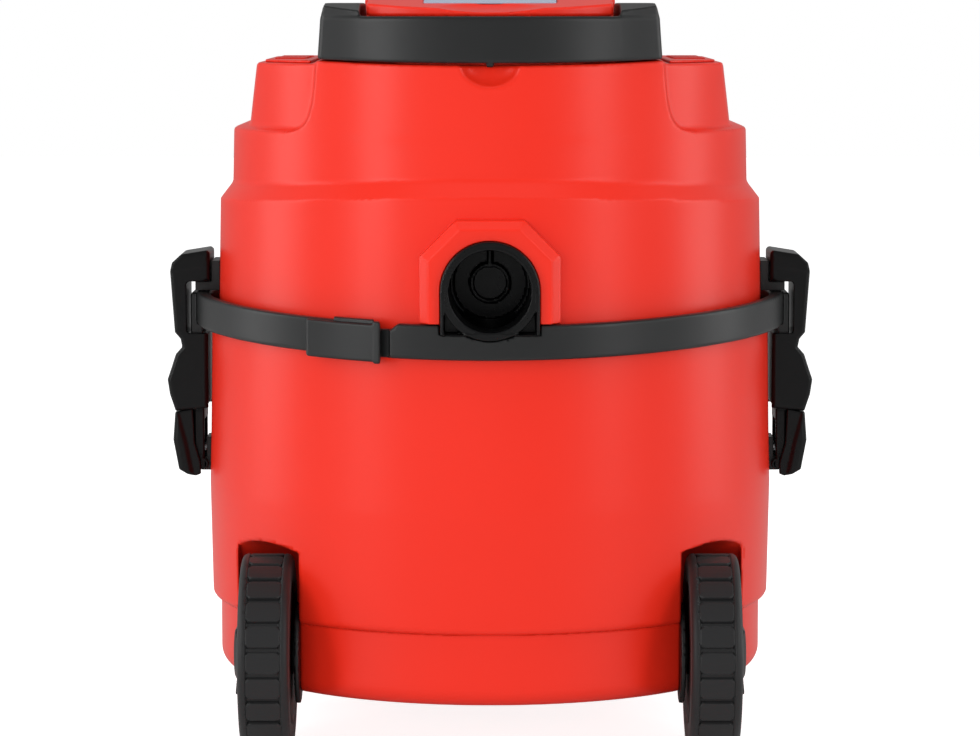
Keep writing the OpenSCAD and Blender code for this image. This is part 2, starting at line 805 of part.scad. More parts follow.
// Side outline of the lid in Y and Z, drawn in by w
module lid_outline(w = 0) {
  polygon([
    [-lid_r - 1, lid_z - w], [-lid_r - 1, lid_z + 3 - w], [-lid_r + 6, lid_z + 5.5 - w],
    [-lid_crest, lid_top_z - w], [0, lid_top_z - w], [lid_hinge_y - 8 - w, lid_top_z - 5 - w],
    [lid_hinge_y - 8 - w, lid_z - w]
  ]);
}

// Height of the lid's sloping rear half
function lid_slope_z(y) = lid_z + 5.5 + (lid_top_z - lid_z - 5.5) * (y + lid_r - 6) / (lid_r - 6 - lid_crest);

// Panel's place on the lid's slope, grown by w sideways
module label_place(w = 0) {
  translate([-label_x - w, 0, 0]) rotate([90, 0, 90]) linear_extrude(2 * (label_x + w)) polygon([
    [label_back_y - w, lid_slope_z(label_back_y - w) - 1], [label_front_y + w, lid_slope_z(label_front_y + w) - 1],
    [label_front_y + w, lid_slope_z(label_front_y + w)], [label_back_y - w, lid_slope_z(label_back_y - w)]
  ]);
}

module lid() {
  scoop_r = 180;
  scoop_tilt = 17;
  color(red) difference() {
    union() {
      difference() {
        intersection() {
          cylinder(r = lid_r, h = 2 * far);
          translate([-lid_x, 0, 0]) rotate([90, 0, 90]) linear_extrude(2 * lid_x) lid_outline();
        }
        intersection() {
          cylinder(r = lid_r - 20, h = 2 * far);
          translate([-lid_x + lid_wall, 0, 0]) rotate([90, 0, 90])
            linear_extrude(2 * (lid_x - lid_wall)) lid_outline(lid_wall);
        }
      }
      rod_x(-lid_x, lid_x, lid_hinge_y, lid_hinge_z, lid_barrel_r);
      // strap from the lid's front wall to its hinge barrel
      block([-lid_x, lid_hinge_y - 11, lid_hinge_z - 3], [lid_x, lid_hinge_y, lid_hinge_z + 3]);
    }
    for (m = [-1, 1]) rod_x(m * (lid_x + 1), m * (lid_x - 15), lid_hinge_y, lid_hinge_z, lid_pin_r + fit);
    // finger scoop at the rear edge
    translate([0, -lid_r - 1, lid_z + 1.2]) rotate([scoop_tilt - 90, 0, 0])
      translate([0, -scoop_r, -20]) cylinder(r = scoop_r, h = 80, $fn = 180);
    label_place(0.1);
  }
}

module lid_hinge_pins() {
  color(steel) for (s = ["left", "right"]) side(s)
    rod_x(-lid_x - 7, -lid_x + 14, lid_hinge_y, lid_hinge_z, lid_pin_r);
}

// Bare plate let into the lid
module label_panel() {
  color([0.62, 0.66, 0.72]) label_place();
}

// ---------- carrying handle ----------

module carry_handle() {
  color(black) difference() {
    intersection() {
      cylinder(r = grip_r, h = 2 * far);
      union() {
        block([-arm_out_x, -far, grip_z], [arm_out_x, pivot_y, grip_z + grip_h]);
        rod_x(-arm_out_x, arm_out_x, pivot_y, pivot_z, grip_h / 2);
      }
    }
    intersection() {
      union() {
        cylinder(r = grip_r - grip_t, h = 2 * far);
        block([-far, 0, 0], [far, far, 2 * far]);
      }
      block([-arm_in_x, -far, 0], [arm_in_x, far, 2 * far]);
    }
    rod_x(-far, far, pivot_y, pivot_z, pivot_r + fit);
    for (m = [-1, 1]) rod_x(m * (arm_out_x - 3), m * far, pivot_y, pivot_z, pivot_r + 3.5);
  }
}

module handle_pins() {
  color(steel) for (s = ["left", "right"]) side(s) {
    rod_x(-arm_out_x + 1, -body_x + 20, pivot_y, pivot_z, pivot_r);
    rod_x(-arm_out_x + 0.5, -arm_out_x + 3 - 0.2, pivot_y, pivot_z, pivot_r + 3);
  }
}

// ---------- hose inlet ----------

module hose_inlet() {
  wall = 2.4;
  foot_z = inlet_z - inlet_ring_r;
  color(black) difference() {
    union() {
      rod_y(inlet_y, inlet_end_y + 3, 0, inlet_z, inlet_tube_r);
      rod_y(inlet_y, cowl_y + 3, 0, inlet_z, inlet_ring_r);
      // arched surround with open corners
      difference() {
        block([-inlet_ring_r, inlet_y, foot_z], [inlet_ring_r, cowl_y + 3, inlet_z]);
        block([-inlet_ring_r + wall, inlet_y - 1, foot_z - 1], [inlet_ring_r - wall, inlet_y + 5, inlet_z]);
      }
      duct(duct_r + 2.5, duct_low_z, inlet_z);
    }
    rod_y(inlet_y - 1, inlet_end_y, 0, inlet_z, inlet_bore);
    duct(duct_r, duct_low_z - 1, inlet_z);
  }
}

// ---------- motor and fan ----------

module motor_seal() {
  color(dark) ring(fan_case_r - 12, fan_case_r - 4, hood_z, fan_z);
}

module fan_housing() {
  color(alloy) difference() {
    ring(0, fan_case_r, fan_z, motor_z);
    ring(0, fan_case_r - 4, fan_z + 3, motor_z - 4);
    ring(0, eye_r, fan_z - 1, fan_z + 4);
    ring(0, shaft_r + 3, motor_z - 5, motor_z + 1);
    for (a = [0 : 30 : 330]) rotate([0, 0, a + 15])
      block([fan_case_r - 6, -4, motor_z - 16], [fan_case_r + 1, 4, motor_z - 7]);
  }
}

module impeller() {
  r = fan_case_r - 8;
  blades = 9;
  color(alloy) difference() {
    union() {
      ring(0, r, motor_z - 12, motor_z - 10);
      ring(eye_r + 2, r, fan_z + 8, fan_z + 10);
      ring(0, 12, fan_z + 12, motor_z - 10);
      for (i = [0 : blades - 1]) rotate([0, 0, i * 360 / blades])
        block([eye_r + 3, -1, fan_z + 9], [r - 1, 1, motor_z - 11]);
    }
    ring(0, shaft_r, fan_z, motor_z);
  }
}

module motor_casing() {
  color(steel) difference() {
    ring(0, motor_r, motor_z, motor_top_z);
    ring(0, motor_r - coil_in, motor_z + motor_end, motor_top_z - motor_end);
    ring(0, shaft_r + fit, motor_z - 1, motor_top_z + 1);
    for (a = [0 : 60 : 300]) rotate([0, 0, a])
      block([motor_r - coil_in - 1, -vent_w / 2, motor_z + motor_end + 10],
            [motor_r + 1, vent_w / 2, motor_top_z - motor_end - 10]);
  }
}

module motor_shaft() {
  color(steel) {
    ring(0, shaft_r, fan_z + 11, motor_top_z - 2);
    ring(0, motor_r - coil_in - 4, motor_z + 2 * motor_end, motor_top_z - 2 * motor_end - 6);
  }
}

// Three-legged clamp that holds the motor down on the pan
module motor_clamp() {
  color(black) {
    ring(clamp_eye, motor_r, motor_top_z, motor_top_z + clamp_t);
    for (a = [90, 210, 330]) rotate([0, 0, a]) {
      block([motor_r - leg_w / 2, -leg_w / 2, motor_top_z], [leg_at, leg_w / 2, motor_top_z + clamp_t]);
      translate([leg_at, 0, hood_z]) cylinder(r = leg_r, h = motor_top_z + clamp_t - hood_z);
    }
  }
}

// ---------- filter and float ----------

module filter_cartridge() {
  cap = 4;
  color(paper) {
    difference() {
      ring(filter_core_r, filter_r - 2, filter_z, pan_z);
      for (i = [0 : pleat_count - 1]) rotate([0, 0, i * 360 / pleat_count])
        block([filter_core_r + 6, -1, filter_z + cap], [filter_r, 1, pan_z - cap]);
    }
    ring(filter_r - 3, filter_r, filter_z, filter_z + cap);
    ring(filter_r - 3, filter_r, pan_z - cap, pan_z);
  }
}

module filter_retainer() {
  color(black) difference() {
    union() {
      ring(0, filter_r, filter_z - retainer_t, filter_z);
      ring(0, nut_r, filter_z - nut_h, filter_z - retainer_t);
      for (a = [0, 90]) rotate([0, 0, a])
        block([-nut_r - 10, -wing_t / 2, filter_z - nut_h], [nut_r + 10, wing_t / 2, filter_z - retainer_t]);
    }
    ring(0, stud_r + fit, filter_z - nut_h + 3, filter_z + 1);
  }
}

module float_cage() {
  windows = 6;
  color(black) {
    difference() {
      ring(cage_r - cage_wall, cage_r, cage_floor_z, pan_z);
      for (i = [0 : windows - 1]) rotate([0, 0, i * 360 / windows])
        block([cage_r - 6, -9, cage_floor_z + 10], [cage_r + 1, 9, pan_z - 10]);
    }
    ring(0, cage_r, cage_floor_z, cage_floor_z + cage_wall);
    ring(0, stud_r, filter_z - nut_h + 5, cage_floor_z + 1);
  }
}

module float_ball() {
  color([0.9, 0.9, 0.88]) translate([0, 0, float_z]) sphere(r = float_r);
}

// ---------- switch and cable ----------

module switch_knob() {
  color(black) {
    rod_y(knob_y, knob_y + 14, 0, knob_z, knob_r);
    rod_y(switch_y - switch_deep + 1, knob_y + 1, 0, knob_z, knob_shaft_r);
    block([-3, knob_y + 10, knob_z - knob_r + 2], [3, knob_y + 18, knob_z + knob_r - 2]);
  }
}

module switch_module() {
  color(dark) difference() {
    block([-switch_half, switch_y - switch_deep, knob_z - switch_half], [switch_half, switch_y, knob_z + switch_half]);
    rod_y(switch_y - switch_deep - 1, crown_r, 0, knob_z, knob_shaft_r + fit);
  }
}

module cable_gland() {
  color(black) difference() {
    union() {
      rod_y(gland_y - 20, flange_y + 1, -gland_x, gland_z, gland_r);
      rod_y(flange_y, flange_y + 5, -gland_x, gland_z, flange_r);
    }
    rod_y(gland_y - 21, flange_y + 6, -gland_x, gland_z, gland_bore);
  }
}

// ---------- side clips ----------

// Hook block on the hood that a claw reaches over
module catch(s) {
  color(black) side(s) difference() {
    union() {
      block([-band_r, -clip_w + 4, catch_z], [-hood_r + 6, clip_w - 4, catch_ledge_z]);
      block([-hood_r - 4, -clip_w + 4, catch_z], [-hood_r + 6, clip_w - 4, catch_z + 20]);
    }
    translate([0, 0, hood_z]) cylinder(r1 = hood_r, r2 = hood_r - hood_taper, h = bevel_z - hood_z, $fn = 360);
  }
}

// Bracket on the tank with two ears for the claw's hinge
module clip_bracket(s) {
  inner = -tank_belly_r + 12;
  ear_t = 4;
  ear_r = 4.5;
  color(black) side(s) difference() {
    union() {
      for (y0 = [-ear_y, ear_y - ear_t]) {
        rod_y(y0, y0 + ear_t, -claw_pivot_x, claw_pivot_z, ear_r);
        block([-claw_pivot_x, y0, claw_pivot_z - ear_r], [inner, y0 + ear_t, claw_pivot_z + ear_r]);
      }
      block([-plate_x, -ear_y, claw_pivot_z + 4], [inner, ear_y, claw_pivot_z + 18]);
    }
    translate([0, 0, belly_z]) cylinder(r1 = tank_belly_r, r2 = tank_rim_r, h = rim_z - belly_z, $fn = 360);
    rod_y(-far, far, -claw_pivot_x, claw_pivot_z, clip_pin_r);
  }
}

module clip_screws() {
  color(steel) for (s = ["left", "right"]) side(s) for (m = [-1, 1])
    rod_x(-plate_x - 1.5, -plate_x, m * 6, claw_pivot_z + 11, 2.8);
}

// Hook that reaches from its hinge on the tank up over the catch
module clip_claw(s) {
  at = -tank_belly_r;
  arm_in = at - 1.2;                         // clear of the tank
  slot_in = -band_r - 4.4;                   // clear of the band and the catch
  slot_low_z = band_z + 3.3;
  nose_in = -hood_r - 5;
  color(black) side(s) difference() {
    union() {
      slab_y(clip_w) polygon([
        [arm_in, claw_low_z], [arm_in, slot_low_z], [slot_in, slot_low_z], [slot_in, claw_nose_z],
        [nose_in, claw_nose_z], [nose_in, claw_nose_z + 19.5], [nose_in - 1.7, claw_nose_z + 21.2],
        [at - 18.1, claw_nose_z + 18.4], [at - 24.4, claw_nose_z + 12.6], [at - 25.8, claw_nose_z + 6.6],
        [at - 22.9, claw_low_z + 48.9], [at - 19.1, claw_low_z + 44.5], [at - 18, claw_low_z + 39],
        [at - 22.4, claw_low_z + 34], [at - 25.3, claw_low_z + 25], [at - 28.1, claw_low_z + 16.8],
        [at - 26.6, claw_low_z + 6.8], [at - 22.8, claw_low_z - edge_drop]
      ]);
      for (y0 = [-leg_y - leg_t, leg_y]) {
        rod_y(y0, y0 + leg_t, -claw_pivot_x, claw_pivot_z, leg_half);
        block([-claw_pivot_x - leg_half, y0, claw_pivot_z], [-claw_pivot_x + leg_half - 0.4, y0 + leg_t, claw_low_z + 6]);
      }
      for (y0 = [-leg_y, knuckle_y + gap]) {
        rod_y(y0, y0 + leg_y - knuckle_y - gap, -lever_pivot_x, lever_pivot_z, knuckle_r);
        block([-lever_pivot_x - 1, y0, lever_pivot_z],
              [-lever_pivot_x + knuckle_r, y0 + leg_y - knuckle_y - gap, claw_low_z]);
      }
    }
    rod_y(-far, far, -claw_pivot_x, claw_pivot_z, clip_pin_r + fit);
    rod_y(-leg_y, leg_y, -lever_pivot_x, lever_pivot_z, lever_pin_r);
    // round dimple in each cheek
    for (m = [-1, 1]) rod_y(m * (clip_w - 1), m * (clip_w + 1), at - 7.3, claw_low_z + 6.3, 4.5);
  }
}

// Release lever, hinged at the claw's outer lower edge, with its grip below
module clip_lever(s) {
  at = -tank_belly_r;
  top_z1 = claw_low_z - edge_drop - 0.9;
  color(black) side(s) difference() {
    union() {
      slab_y(clip_w) polygon([
        [at - 22.7, top_z1], [at - 24.1, claw_pivot_z + 17.2], [at - 20.4, claw_pivot_z - 2.8],
        [at - 14.9, claw_pivot_z - 6.1], [at - 9.4, claw_pivot_z - 7.6], [at - 5.9, claw_pivot_z - 6.1],
        [at - 6, claw_pivot_z + 1.5], [at - 10, claw_pivot_z + 15.5], [at - 11, top_z1 + 2.5]
      ]);
      rod_y(-knuckle_y, knuckle_y, -lever_pivot_x, lever_pivot_z, knuckle_r);
    }
    // hollow behind the grip for the claw's legs and the bracket
    block([-lever_pivot_x + knuckle_r + 0.5, -clip_w + lever_skin, 0], [0, clip_w - lever_skin, far * 2]);
    block([-lever_pivot_x - 0.8, -clip_w + lever_skin, 0], [0, clip_w - lever_skin, lever_pivot_z - knuckle_r - 1]);
    // clearance round the claw's knuckles
    for (y0 = [-leg_y - gap, knuckle_y]) {
      rod_y(y0, y0 + leg_y - knuckle_y + gap, -lever_pivot_x, lever_pivot_z, knuckle_r + 1.5);
      block([-far, y0, lever_pivot_z], [0, y0 + leg_y - knuckle_y + gap, 2 * far]);
    }
    rod_y(-leg_y, leg_y, -lever_pivot_x, lever_pivot_z, lever_pin_r + fit);
  }
}

module claw_pins() {
  color(steel) for (s = ["left", "right"]) side(s)
    rod_y(-leg_y - leg_t, leg_y + leg_t, -claw_pivot_x, claw_pivot_z, clip_pin_r);
}

module lever_pin(s) {
  color(steel) side(s)
    rod_y(-leg_y, leg_y, -lever_pivot_x, lever_pivot_z, lever_pin_r);
}

tank();
tank_seal();
seam_band();
band_buckle();
rear_axle("left");  // rear_axle_left
rear_axle("right");  // rear_axle_right
wheel_tyre("left");  // wheel_tyre_left
wheel_tyre("right");  // wheel_tyre_right
wheel_hub("left");  // wheel_hub_left
wheel_hub("right");  // wheel_hub_right
hub_cap("left");  // hub_cap_left
hub_cap("right");  // hub_cap_right
castor_fork("left");  // castor_fork_left
castor_fork("right");  // castor_fork_right
castor_wheel("left");  // castor_wheel_left
castor_wheel("right");  // castor_wheel_right
castor_axle("left");  // castor_axle_left
castor_axle("right");  // castor_axle_right
base_pan();
motor_hood();
exhaust_cover("left");  // exhaust_cover_left
exhaust_cover("right");  // exhaust_cover_right
exhaust_foam();
hood_screws();
lid();
lid_hinge_pins();
label_panel();
carry_handle();
handle_pins();
hose_inlet();
motor_seal();
fan_housing();
impeller();
motor_casing();
motor_shaft();
motor_clamp();
filter_cartridge();
filter_retainer();
float_cage();
float_ball();
switch_knob();
switch_module();
cable_gland();
catch("left");  // catch_left
catch("right");  // catch_right
clip_bracket("left");  // clip_bracket_left
clip_bracket("right");  // clip_bracket_right
clip_screws();
clip_claw("left");  // clip_claw_left
clip_claw("right");  // clip_claw_right
clip_lever("left");  // clip_lever_left
clip_lever("right");  // clip_lever_right
claw_pins();
lever_pin("left");  // lever_pin_left
lever_pin("right");  // lever_pin_right
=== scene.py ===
"""Wet-and-dry shop vacuum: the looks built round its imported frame, in metres, +Z up, hose side towards -Y."""
import json
import logging
import math
from dataclasses import dataclass
from enum import Enum
from typing import Callable, Sequence

import bmesh
import bpy
import numpy as np
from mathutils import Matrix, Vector


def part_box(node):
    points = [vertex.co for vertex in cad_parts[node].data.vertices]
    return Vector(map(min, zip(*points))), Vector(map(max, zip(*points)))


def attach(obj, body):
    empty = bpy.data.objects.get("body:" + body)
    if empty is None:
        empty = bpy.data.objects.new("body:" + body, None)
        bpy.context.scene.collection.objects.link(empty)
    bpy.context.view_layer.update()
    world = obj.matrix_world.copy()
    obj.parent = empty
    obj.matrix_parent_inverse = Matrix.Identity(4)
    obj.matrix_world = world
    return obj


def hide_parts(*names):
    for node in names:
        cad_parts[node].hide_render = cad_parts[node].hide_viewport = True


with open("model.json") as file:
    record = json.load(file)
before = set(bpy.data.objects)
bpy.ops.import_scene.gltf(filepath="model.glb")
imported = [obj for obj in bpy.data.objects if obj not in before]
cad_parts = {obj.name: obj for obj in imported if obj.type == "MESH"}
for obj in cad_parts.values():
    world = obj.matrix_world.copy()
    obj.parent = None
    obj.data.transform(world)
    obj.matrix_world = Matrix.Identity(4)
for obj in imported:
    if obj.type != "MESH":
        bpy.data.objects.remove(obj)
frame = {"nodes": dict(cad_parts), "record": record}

log = logging.getLogger("vacuum")
MM = 0.001
SIDES = ("left", "right")
Pair = tuple[float, float]
Triple = tuple[float, float, float]
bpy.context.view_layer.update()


# ---------- solids described by distance ----------


class Axis(Enum):
    """A row axis; its value is the axis's index."""

    X = 0
    Y = 1
    Z = 2

    @property
    def others(self) -> tuple[int, int]:
        """The two axes across this one, in order."""
        return tuple(i for i in range(3) if i != self.value)


def rounded_min(a: np.ndarray, b: np.ndarray, radius: float | np.ndarray) -> np.ndarray:
    """Distance to two solids joined with a fillet.

    Args:
        a: Distances to the first solid.
        b: Distances to the second solid.
        radius: Radius of the fillet where they meet.

    Returns:
        Distances to the joined solid.
    """
    if np.ndim(radius) == 0 and radius <= 0:
        return np.minimum(a, b)
    radius = np.maximum(radius, 1e-6)
    return np.maximum(radius, np.minimum(a, b)) - np.hypot(np.maximum(radius - a, 0), np.maximum(radius - b, 0))


def rounded_max(a: np.ndarray, b: np.ndarray, radius: float | np.ndarray) -> np.ndarray:
    """Distance to what two solids share, with a rounded edge.

    Args:
        a: Distances to the first solid.
        b: Distances to the second solid.
        radius: Radius of the edge where their faces cross.

    Returns:
        Distances to the shared solid.
    """
    return -rounded_min(-a, -b, radius)


def inset(outline: Sequence[Pair], width: float) -> list[Pair]:
    """Draws a closed outline in on all its sides.

    Args:
        outline: Corners in order.
        width: How far every side moves in.

    Returns:
        The corners of the smaller outline.
    """
    pts = np.array(outline, float)
    ahead = np.roll(pts, -1, 0) - pts
    turn = np.sum(pts[:, 0] * np.roll(pts[:, 1], -1) - np.roll(pts[:, 0], -1) * pts[:, 1])
    inward = np.stack([-ahead[:, 1], ahead[:, 0]], 1) / np.linalg.norm(ahead, axis=1)[:, None] * np.sign(turn)
    before = np.roll(inward, 1, 0)
    return [tuple(p) for p in pts + width * (inward + before) / (1 + np.sum(inward * before, 1))[:, None]]


def outline_distance(u: np.ndarray, v: np.ndarray, outline: Sequence[Pair]) -> np.ndarray:
    """Signed distance to a closed outline in a plane.

    Args:
        u: First coordinates of the points.
        v: Second coordinates of the points.
        outline: Corners in order.

    Returns:
        Distances, negative inside.
    """
    nearest = np.full(u.shape, np.inf)
    sign = np.ones(u.shape)
    corners = list(outline)
    for (ax, ay), (bx, by) in zip(corners, corners[1:] + corners[:1]):
        ex, ey, wx, wy = bx - ax, by - ay, u - ax, v - ay
        t = np.clip((wx * ex + wy * ey) / (ex * ex + ey * ey), 0, 1)
        nearest = np.minimum(nearest, (wx - ex * t) ** 2 + (wy - ey * t) ** 2)
        above, below, left = v >= ay, v < by, ex * wy > ey * wx
        sign = np.where((above & below & left) | ~(above | below | left), -sign, sign)
    return sign * np.sqrt(nearest)


def pushed(flat: np.ndarray, along: np.ndarray, low: float, high: float, edge: float) -> np.ndarray:
    """Distance to a flat shape pushed out along its axis.

    Args:
        flat: Distances to the shape drawn in by the edge radius.
        along: The points' coordinates along the axis.
        low: Where the solid begins.
        high: Where it ends.
        edge: Radius round its edges.

    Returns:
        Distances to the solid.
    """
    over = np.abs(along - (low + high) / 2) - (high - low) / 2 + edge
    return np.minimum(np.maximum(flat, over), 0) + np.hypot(np.maximum(flat, 0), np.maximum(over, 0)) - edge


class Form:
    """A solid given by its signed distance in millimetres, negative inside."""

    def __init__(self, distance: Callable[[np.ndarray], np.ndarray]) -> None:
        """Keeps the distance function of points, one row each."""
        self.distance = distance

    def join(self, other: "Form", fillet: float = 0.0) -> "Form":
        """This solid and another, with a fillet where they meet."""
        return Form(lambda p: rounded_min(self.distance(p), other.distance(p), fillet))

    def join_where(self, other: "Form", fillet: Callable[[np.ndarray], np.ndarray]) -> "Form":
        """This solid and another, with a fillet whose radius depends on the place."""
        return Form(lambda p: rounded_min(self.distance(p), other.distance(p), fillet(p)))

    def meet(self, other: "Form", edge: float = 0.0) -> "Form":
        """What this solid and another share, with a rounded edge."""
        return Form(lambda p: rounded_max(self.distance(p), other.distance(p), edge))

    def cut(self, other: "Form", edge: float = 0.0) -> "Form":
        """This solid without another, with a rounded edge."""
        return Form(lambda p: rounded_max(self.distance(p), -other.distance(p), edge))

    def both_sides(self) -> "Form":
        """The half at +X, with its mirror image at -X."""
        return Form(lambda p: self.distance(np.abs(p) * (1, 0, 0) + p * (0, 1, 1)))

    def mirrored(self) -> "Form":
        """The mirror image across X = 0."""
        return Form(lambda p: self.distance(p * (-1, 1, 1)))

    def around(self, count: int, centre: Pair, axis: Axis = Axis.X) -> "Form":
        """The sector astride the first cross axis, repeated about a centre."""
        i, j = axis.others

        def folded(p: np.ndarray) -> np.ndarray:
            """Distance with every sector turned onto the first."""
            u, v = p[:, i] - centre[0], p[:, j] - centre[1]
            step = 2 * math.pi / count
            angle = np.arctan2(v, u)
            angle = angle - np.round(angle / step) * step
            q = p.copy()
            q[:, i], q[:, j] = np.hypot(u, v) * np.cos(angle), np.hypot(u, v) * np.sin(angle)
            return self.distance(q)

        return Form(folded)

    def turned(self, axis: Axis, degrees: float, pivot: Triple) -> "Form":
        """This solid turned about an axis through a pivot."""
        i, j = axis.others
        angle = math.radians(degrees) * (-1 if axis is Axis.Y else 1)
        c, s = math.cos(angle), math.sin(angle)

        def back(p: np.ndarray) -> np.ndarray:
            """Distance at the points turned back."""
            q = p - pivot
            u, v = q[:, i].copy(), q[:, j].copy()
            q[:, i], q[:, j] = u * c + v * s, v * c - u * s
            return self.distance(q + pivot)

        return Form(back)


def block(low: Triple, high: Triple, edge: float = 0.0) -> Form:
    """A box between two corners, with rounded edges."""
    centre, half = (np.array(low) + high) / 2, (np.array(high) - low) / 2 - edge

    def distance(p: np.ndarray) -> np.ndarray:
        """Distance to the box."""
        q = np.abs(p - centre) - half
        return np.linalg.norm(np.maximum(q, 0), axis=1) + np.minimum(q.max(1), 0) - edge

    return Form(distance)


def bowl(centre: Triple, radii: Triple) -> Form:
    """An ellipsoid, with distances that are right near its surface."""
    r = np.array(radii)

    def distance(p: np.ndarray) -> np.ndarray:
        """Distance to the ellipsoid."""
        q = (p - centre) / r
        size = np.linalg.norm(q, axis=1)
        return (size - 1) * size / np.maximum(np.linalg.norm(q / r, axis=1), 1e-6)

    return Form(distance)


def prism(axis: Axis, outline: Sequence[Pair], low: float, high: float, edge: float = 0.0) -> Form:
    """An outline in the plane across an axis, pushed out along it."""
    i, j = axis.others
    small = inset(outline, edge)
    return Form(lambda p: pushed(outline_distance(p[:, i], p[:, j], small), p[:, axis.value], low, high, edge))


def plate(outline: Sequence[Pair], half: float, edge: float, corner: float = 0.8) -> Form:
    """An outline in X and Z pushed out both ways along Y, with rounded corners and rims."""
    small = inset(outline, corner)

    def distance(p: np.ndarray) -> np.ndarray:
        """Distance to the plate."""
        return rounded_max(outline_distance(p[:, 0], p[:, 2], small) - corner, np.abs(p[:, 1]) - half, edge)

    return Form(distance)


def rod(axis: Axis, low: float, high: float, centre: Pair, radius: float, edge: float = 0.0) -> Form:
    """A round rod along an axis."""
    i, j = axis.others
    return Form(lambda p: pushed(np.hypot(p[:, i] - centre[0], p[:, j] - centre[1]) - radius + edge,
                                 p[:, axis.value], low, high, edge))


def lathe(axis: Axis, outline: Sequence[Pair], centre: Pair = (0.0, 0.0), edge: float = 0.0) -> Form:
    """An outline in radius and height, turned round an axis."""
    i, j = axis.others
    small = inset(outline, edge)
    return Form(lambda p: outline_distance(np.hypot(p[:, i] - centre[0], p[:, j] - centre[1]),
                                           p[:, axis.value], small) - edge)


@dataclass(frozen=True)
class Net:
    """Turns a form into a smooth quad mesh."""

    cell: float
    block: int = 6
    relax: int = 3
    chunk: int = 200000
    margin: float = 1.5

    def _values(self, form: Form, low: np.ndarray, count: np.ndarray) -> np.ndarray:
        """Distances on the grid, exact only near the surface.

        Args:
            form: The solid.
            low: The grid's lowest corner.
            count: How many blocks there are along each axis.

        Returns:
            A value at every grid point.
        """
        span = self.block * self.cell
        at = np.stack(np.meshgrid(*[np.arange(c) for c in count], indexing="ij"), -1).reshape(-1, 3)
        rough = form.distance(low + (at + 0.5) * span - self.cell / 2)
        near = np.abs(rough) < span * math.sqrt(3) / 2 * 1.15 + self.cell
        grid = rough.reshape(*count)
        for axis in range(3):
            grid = np.repeat(grid, self.block, axis)
        step = np.stack(np.meshgrid(*[np.arange(self.block)] * 3, indexing="ij"), -1).reshape(-1, 3)
        index = (at[near][:, None, :] * self.block + step[None]).reshape(-1, 3)
        for part in np.array_split(index, max(1, len(index) // self.chunk)):
            grid[part[:, 0], part[:, 1], part[:, 2]] = form.distance(low + part * self.cell)
        return grid

    def _slope(self, form: Form, p: np.ndarray, reach: float) -> np.ndarray:
        """The form's gradient at each point."""
        steps = np.eye(3) * reach
        return np.stack([form.distance(p + s) - form.distance(p - s) for s in steps], 1) / (2 * reach)

    def _settle(self, form: Form, p: np.ndarray, times: int) -> np.ndarray:
        """Moves points onto the surface along the gradient."""
        for _ in range(times):
            d, g = form.distance(p), self._slope(form, p, 0.05 * self.cell)
            move = -(d / np.maximum(np.sum(g * g, 1), 0.25))[:, None] * g
            far = np.linalg.norm(move, axis=1)[:, None]
            p = p + move * np.minimum(1, self.cell / np.maximum(far, 1e-9))
        return p

    def mesh(self, name: str, form: Form, low: Triple, high: Triple) -> bpy.types.Mesh:
        """Builds the form's surface as a mesh in metres.

        Args:
            name: The mesh's name.
            form: The solid.
            low: Lowest corner of the space that holds it.
            high: Highest corner of that space.

        Returns:
            The mesh, with smooth normals taken from the form.
        """
        start = np.array(low, float) - self.margin * self.cell
        count = np.ceil((np.array(high) - start) / (self.cell * self.block) + 0.4).astype(int)
        inside = self._values(form, start, count) < 0
        total = sum(inside[i:i - 1 or None, j:j - 1 or None, k:k - 1 or None].astype(np.int8)
                    for i in (0, 1) for j in (0, 1) for k in (0, 1))
        active = (total > 0) & (total < 8)
        number = np.full(active.shape, -1)
        number[active] = np.arange(active.sum())
        p = self._settle(form, start + (np.argwhere(active) + 0.5) * self.cell, 4)
        quads = []
        for axis in range(3):
            a, b = (axis + 1) % 3, (axis + 2) % 3
            one, two = [slice(None)] * 3, [slice(None)] * 3
            one[axis], two[axis] = slice(0, -1), slice(1, None)
            first, second = inside[tuple(one)], inside[tuple(two)]
            at = np.argwhere(first != second)
            at = at[(at[:, a] > 0) & (at[:, b] > 0)]
            ring = []
            for da, db in ((-1, -1), (0, -1), (0, 0), (-1, 0)):
                q = at.copy()
                q[:, a] += da
                q[:, b] += db
                ring.append(number[q[:, 0], q[:, 1], q[:, 2]])
            ring = np.stack(ring, 1)
            out = first[at[:, 0], at[:, 1], at[:, 2]]
            quads.append(np.where(out[:, None], ring, ring[:, ::-1]))
        faces = np.concatenate(quads)
        ends = np.concatenate([faces[:, [0, 1]], faces[:, [1, 2]], faces[:, [2, 3]], faces[:, [3, 0]]])
        for _ in range(self.relax):
            sums, hits = np.zeros_like(p), np.bincount(ends.ravel(), minlength=len(p))[:, None]
            for i, j in ((0, 1), (1, 0)):
                for k in range(3):
                    sums[:, k] += np.bincount(ends[:, i], p[ends[:, j], k], len(p))
            p = self._settle(form, 0.5 * p + 0.5 * sums / np.maximum(hits, 1), 2)
        mesh = bpy.data.meshes.new(name)
        mesh.from_pydata((p * MM).tolist(), [], faces.tolist())
        mesh.shade_smooth()
        n = self._slope(form, p, 0.2 * self.cell)
        n /= np.maximum(np.linalg.norm(n, axis=1), 1e-9)[:, None]
        mesh.normals_split_custom_set_from_vertices(n.tolist())
        return mesh


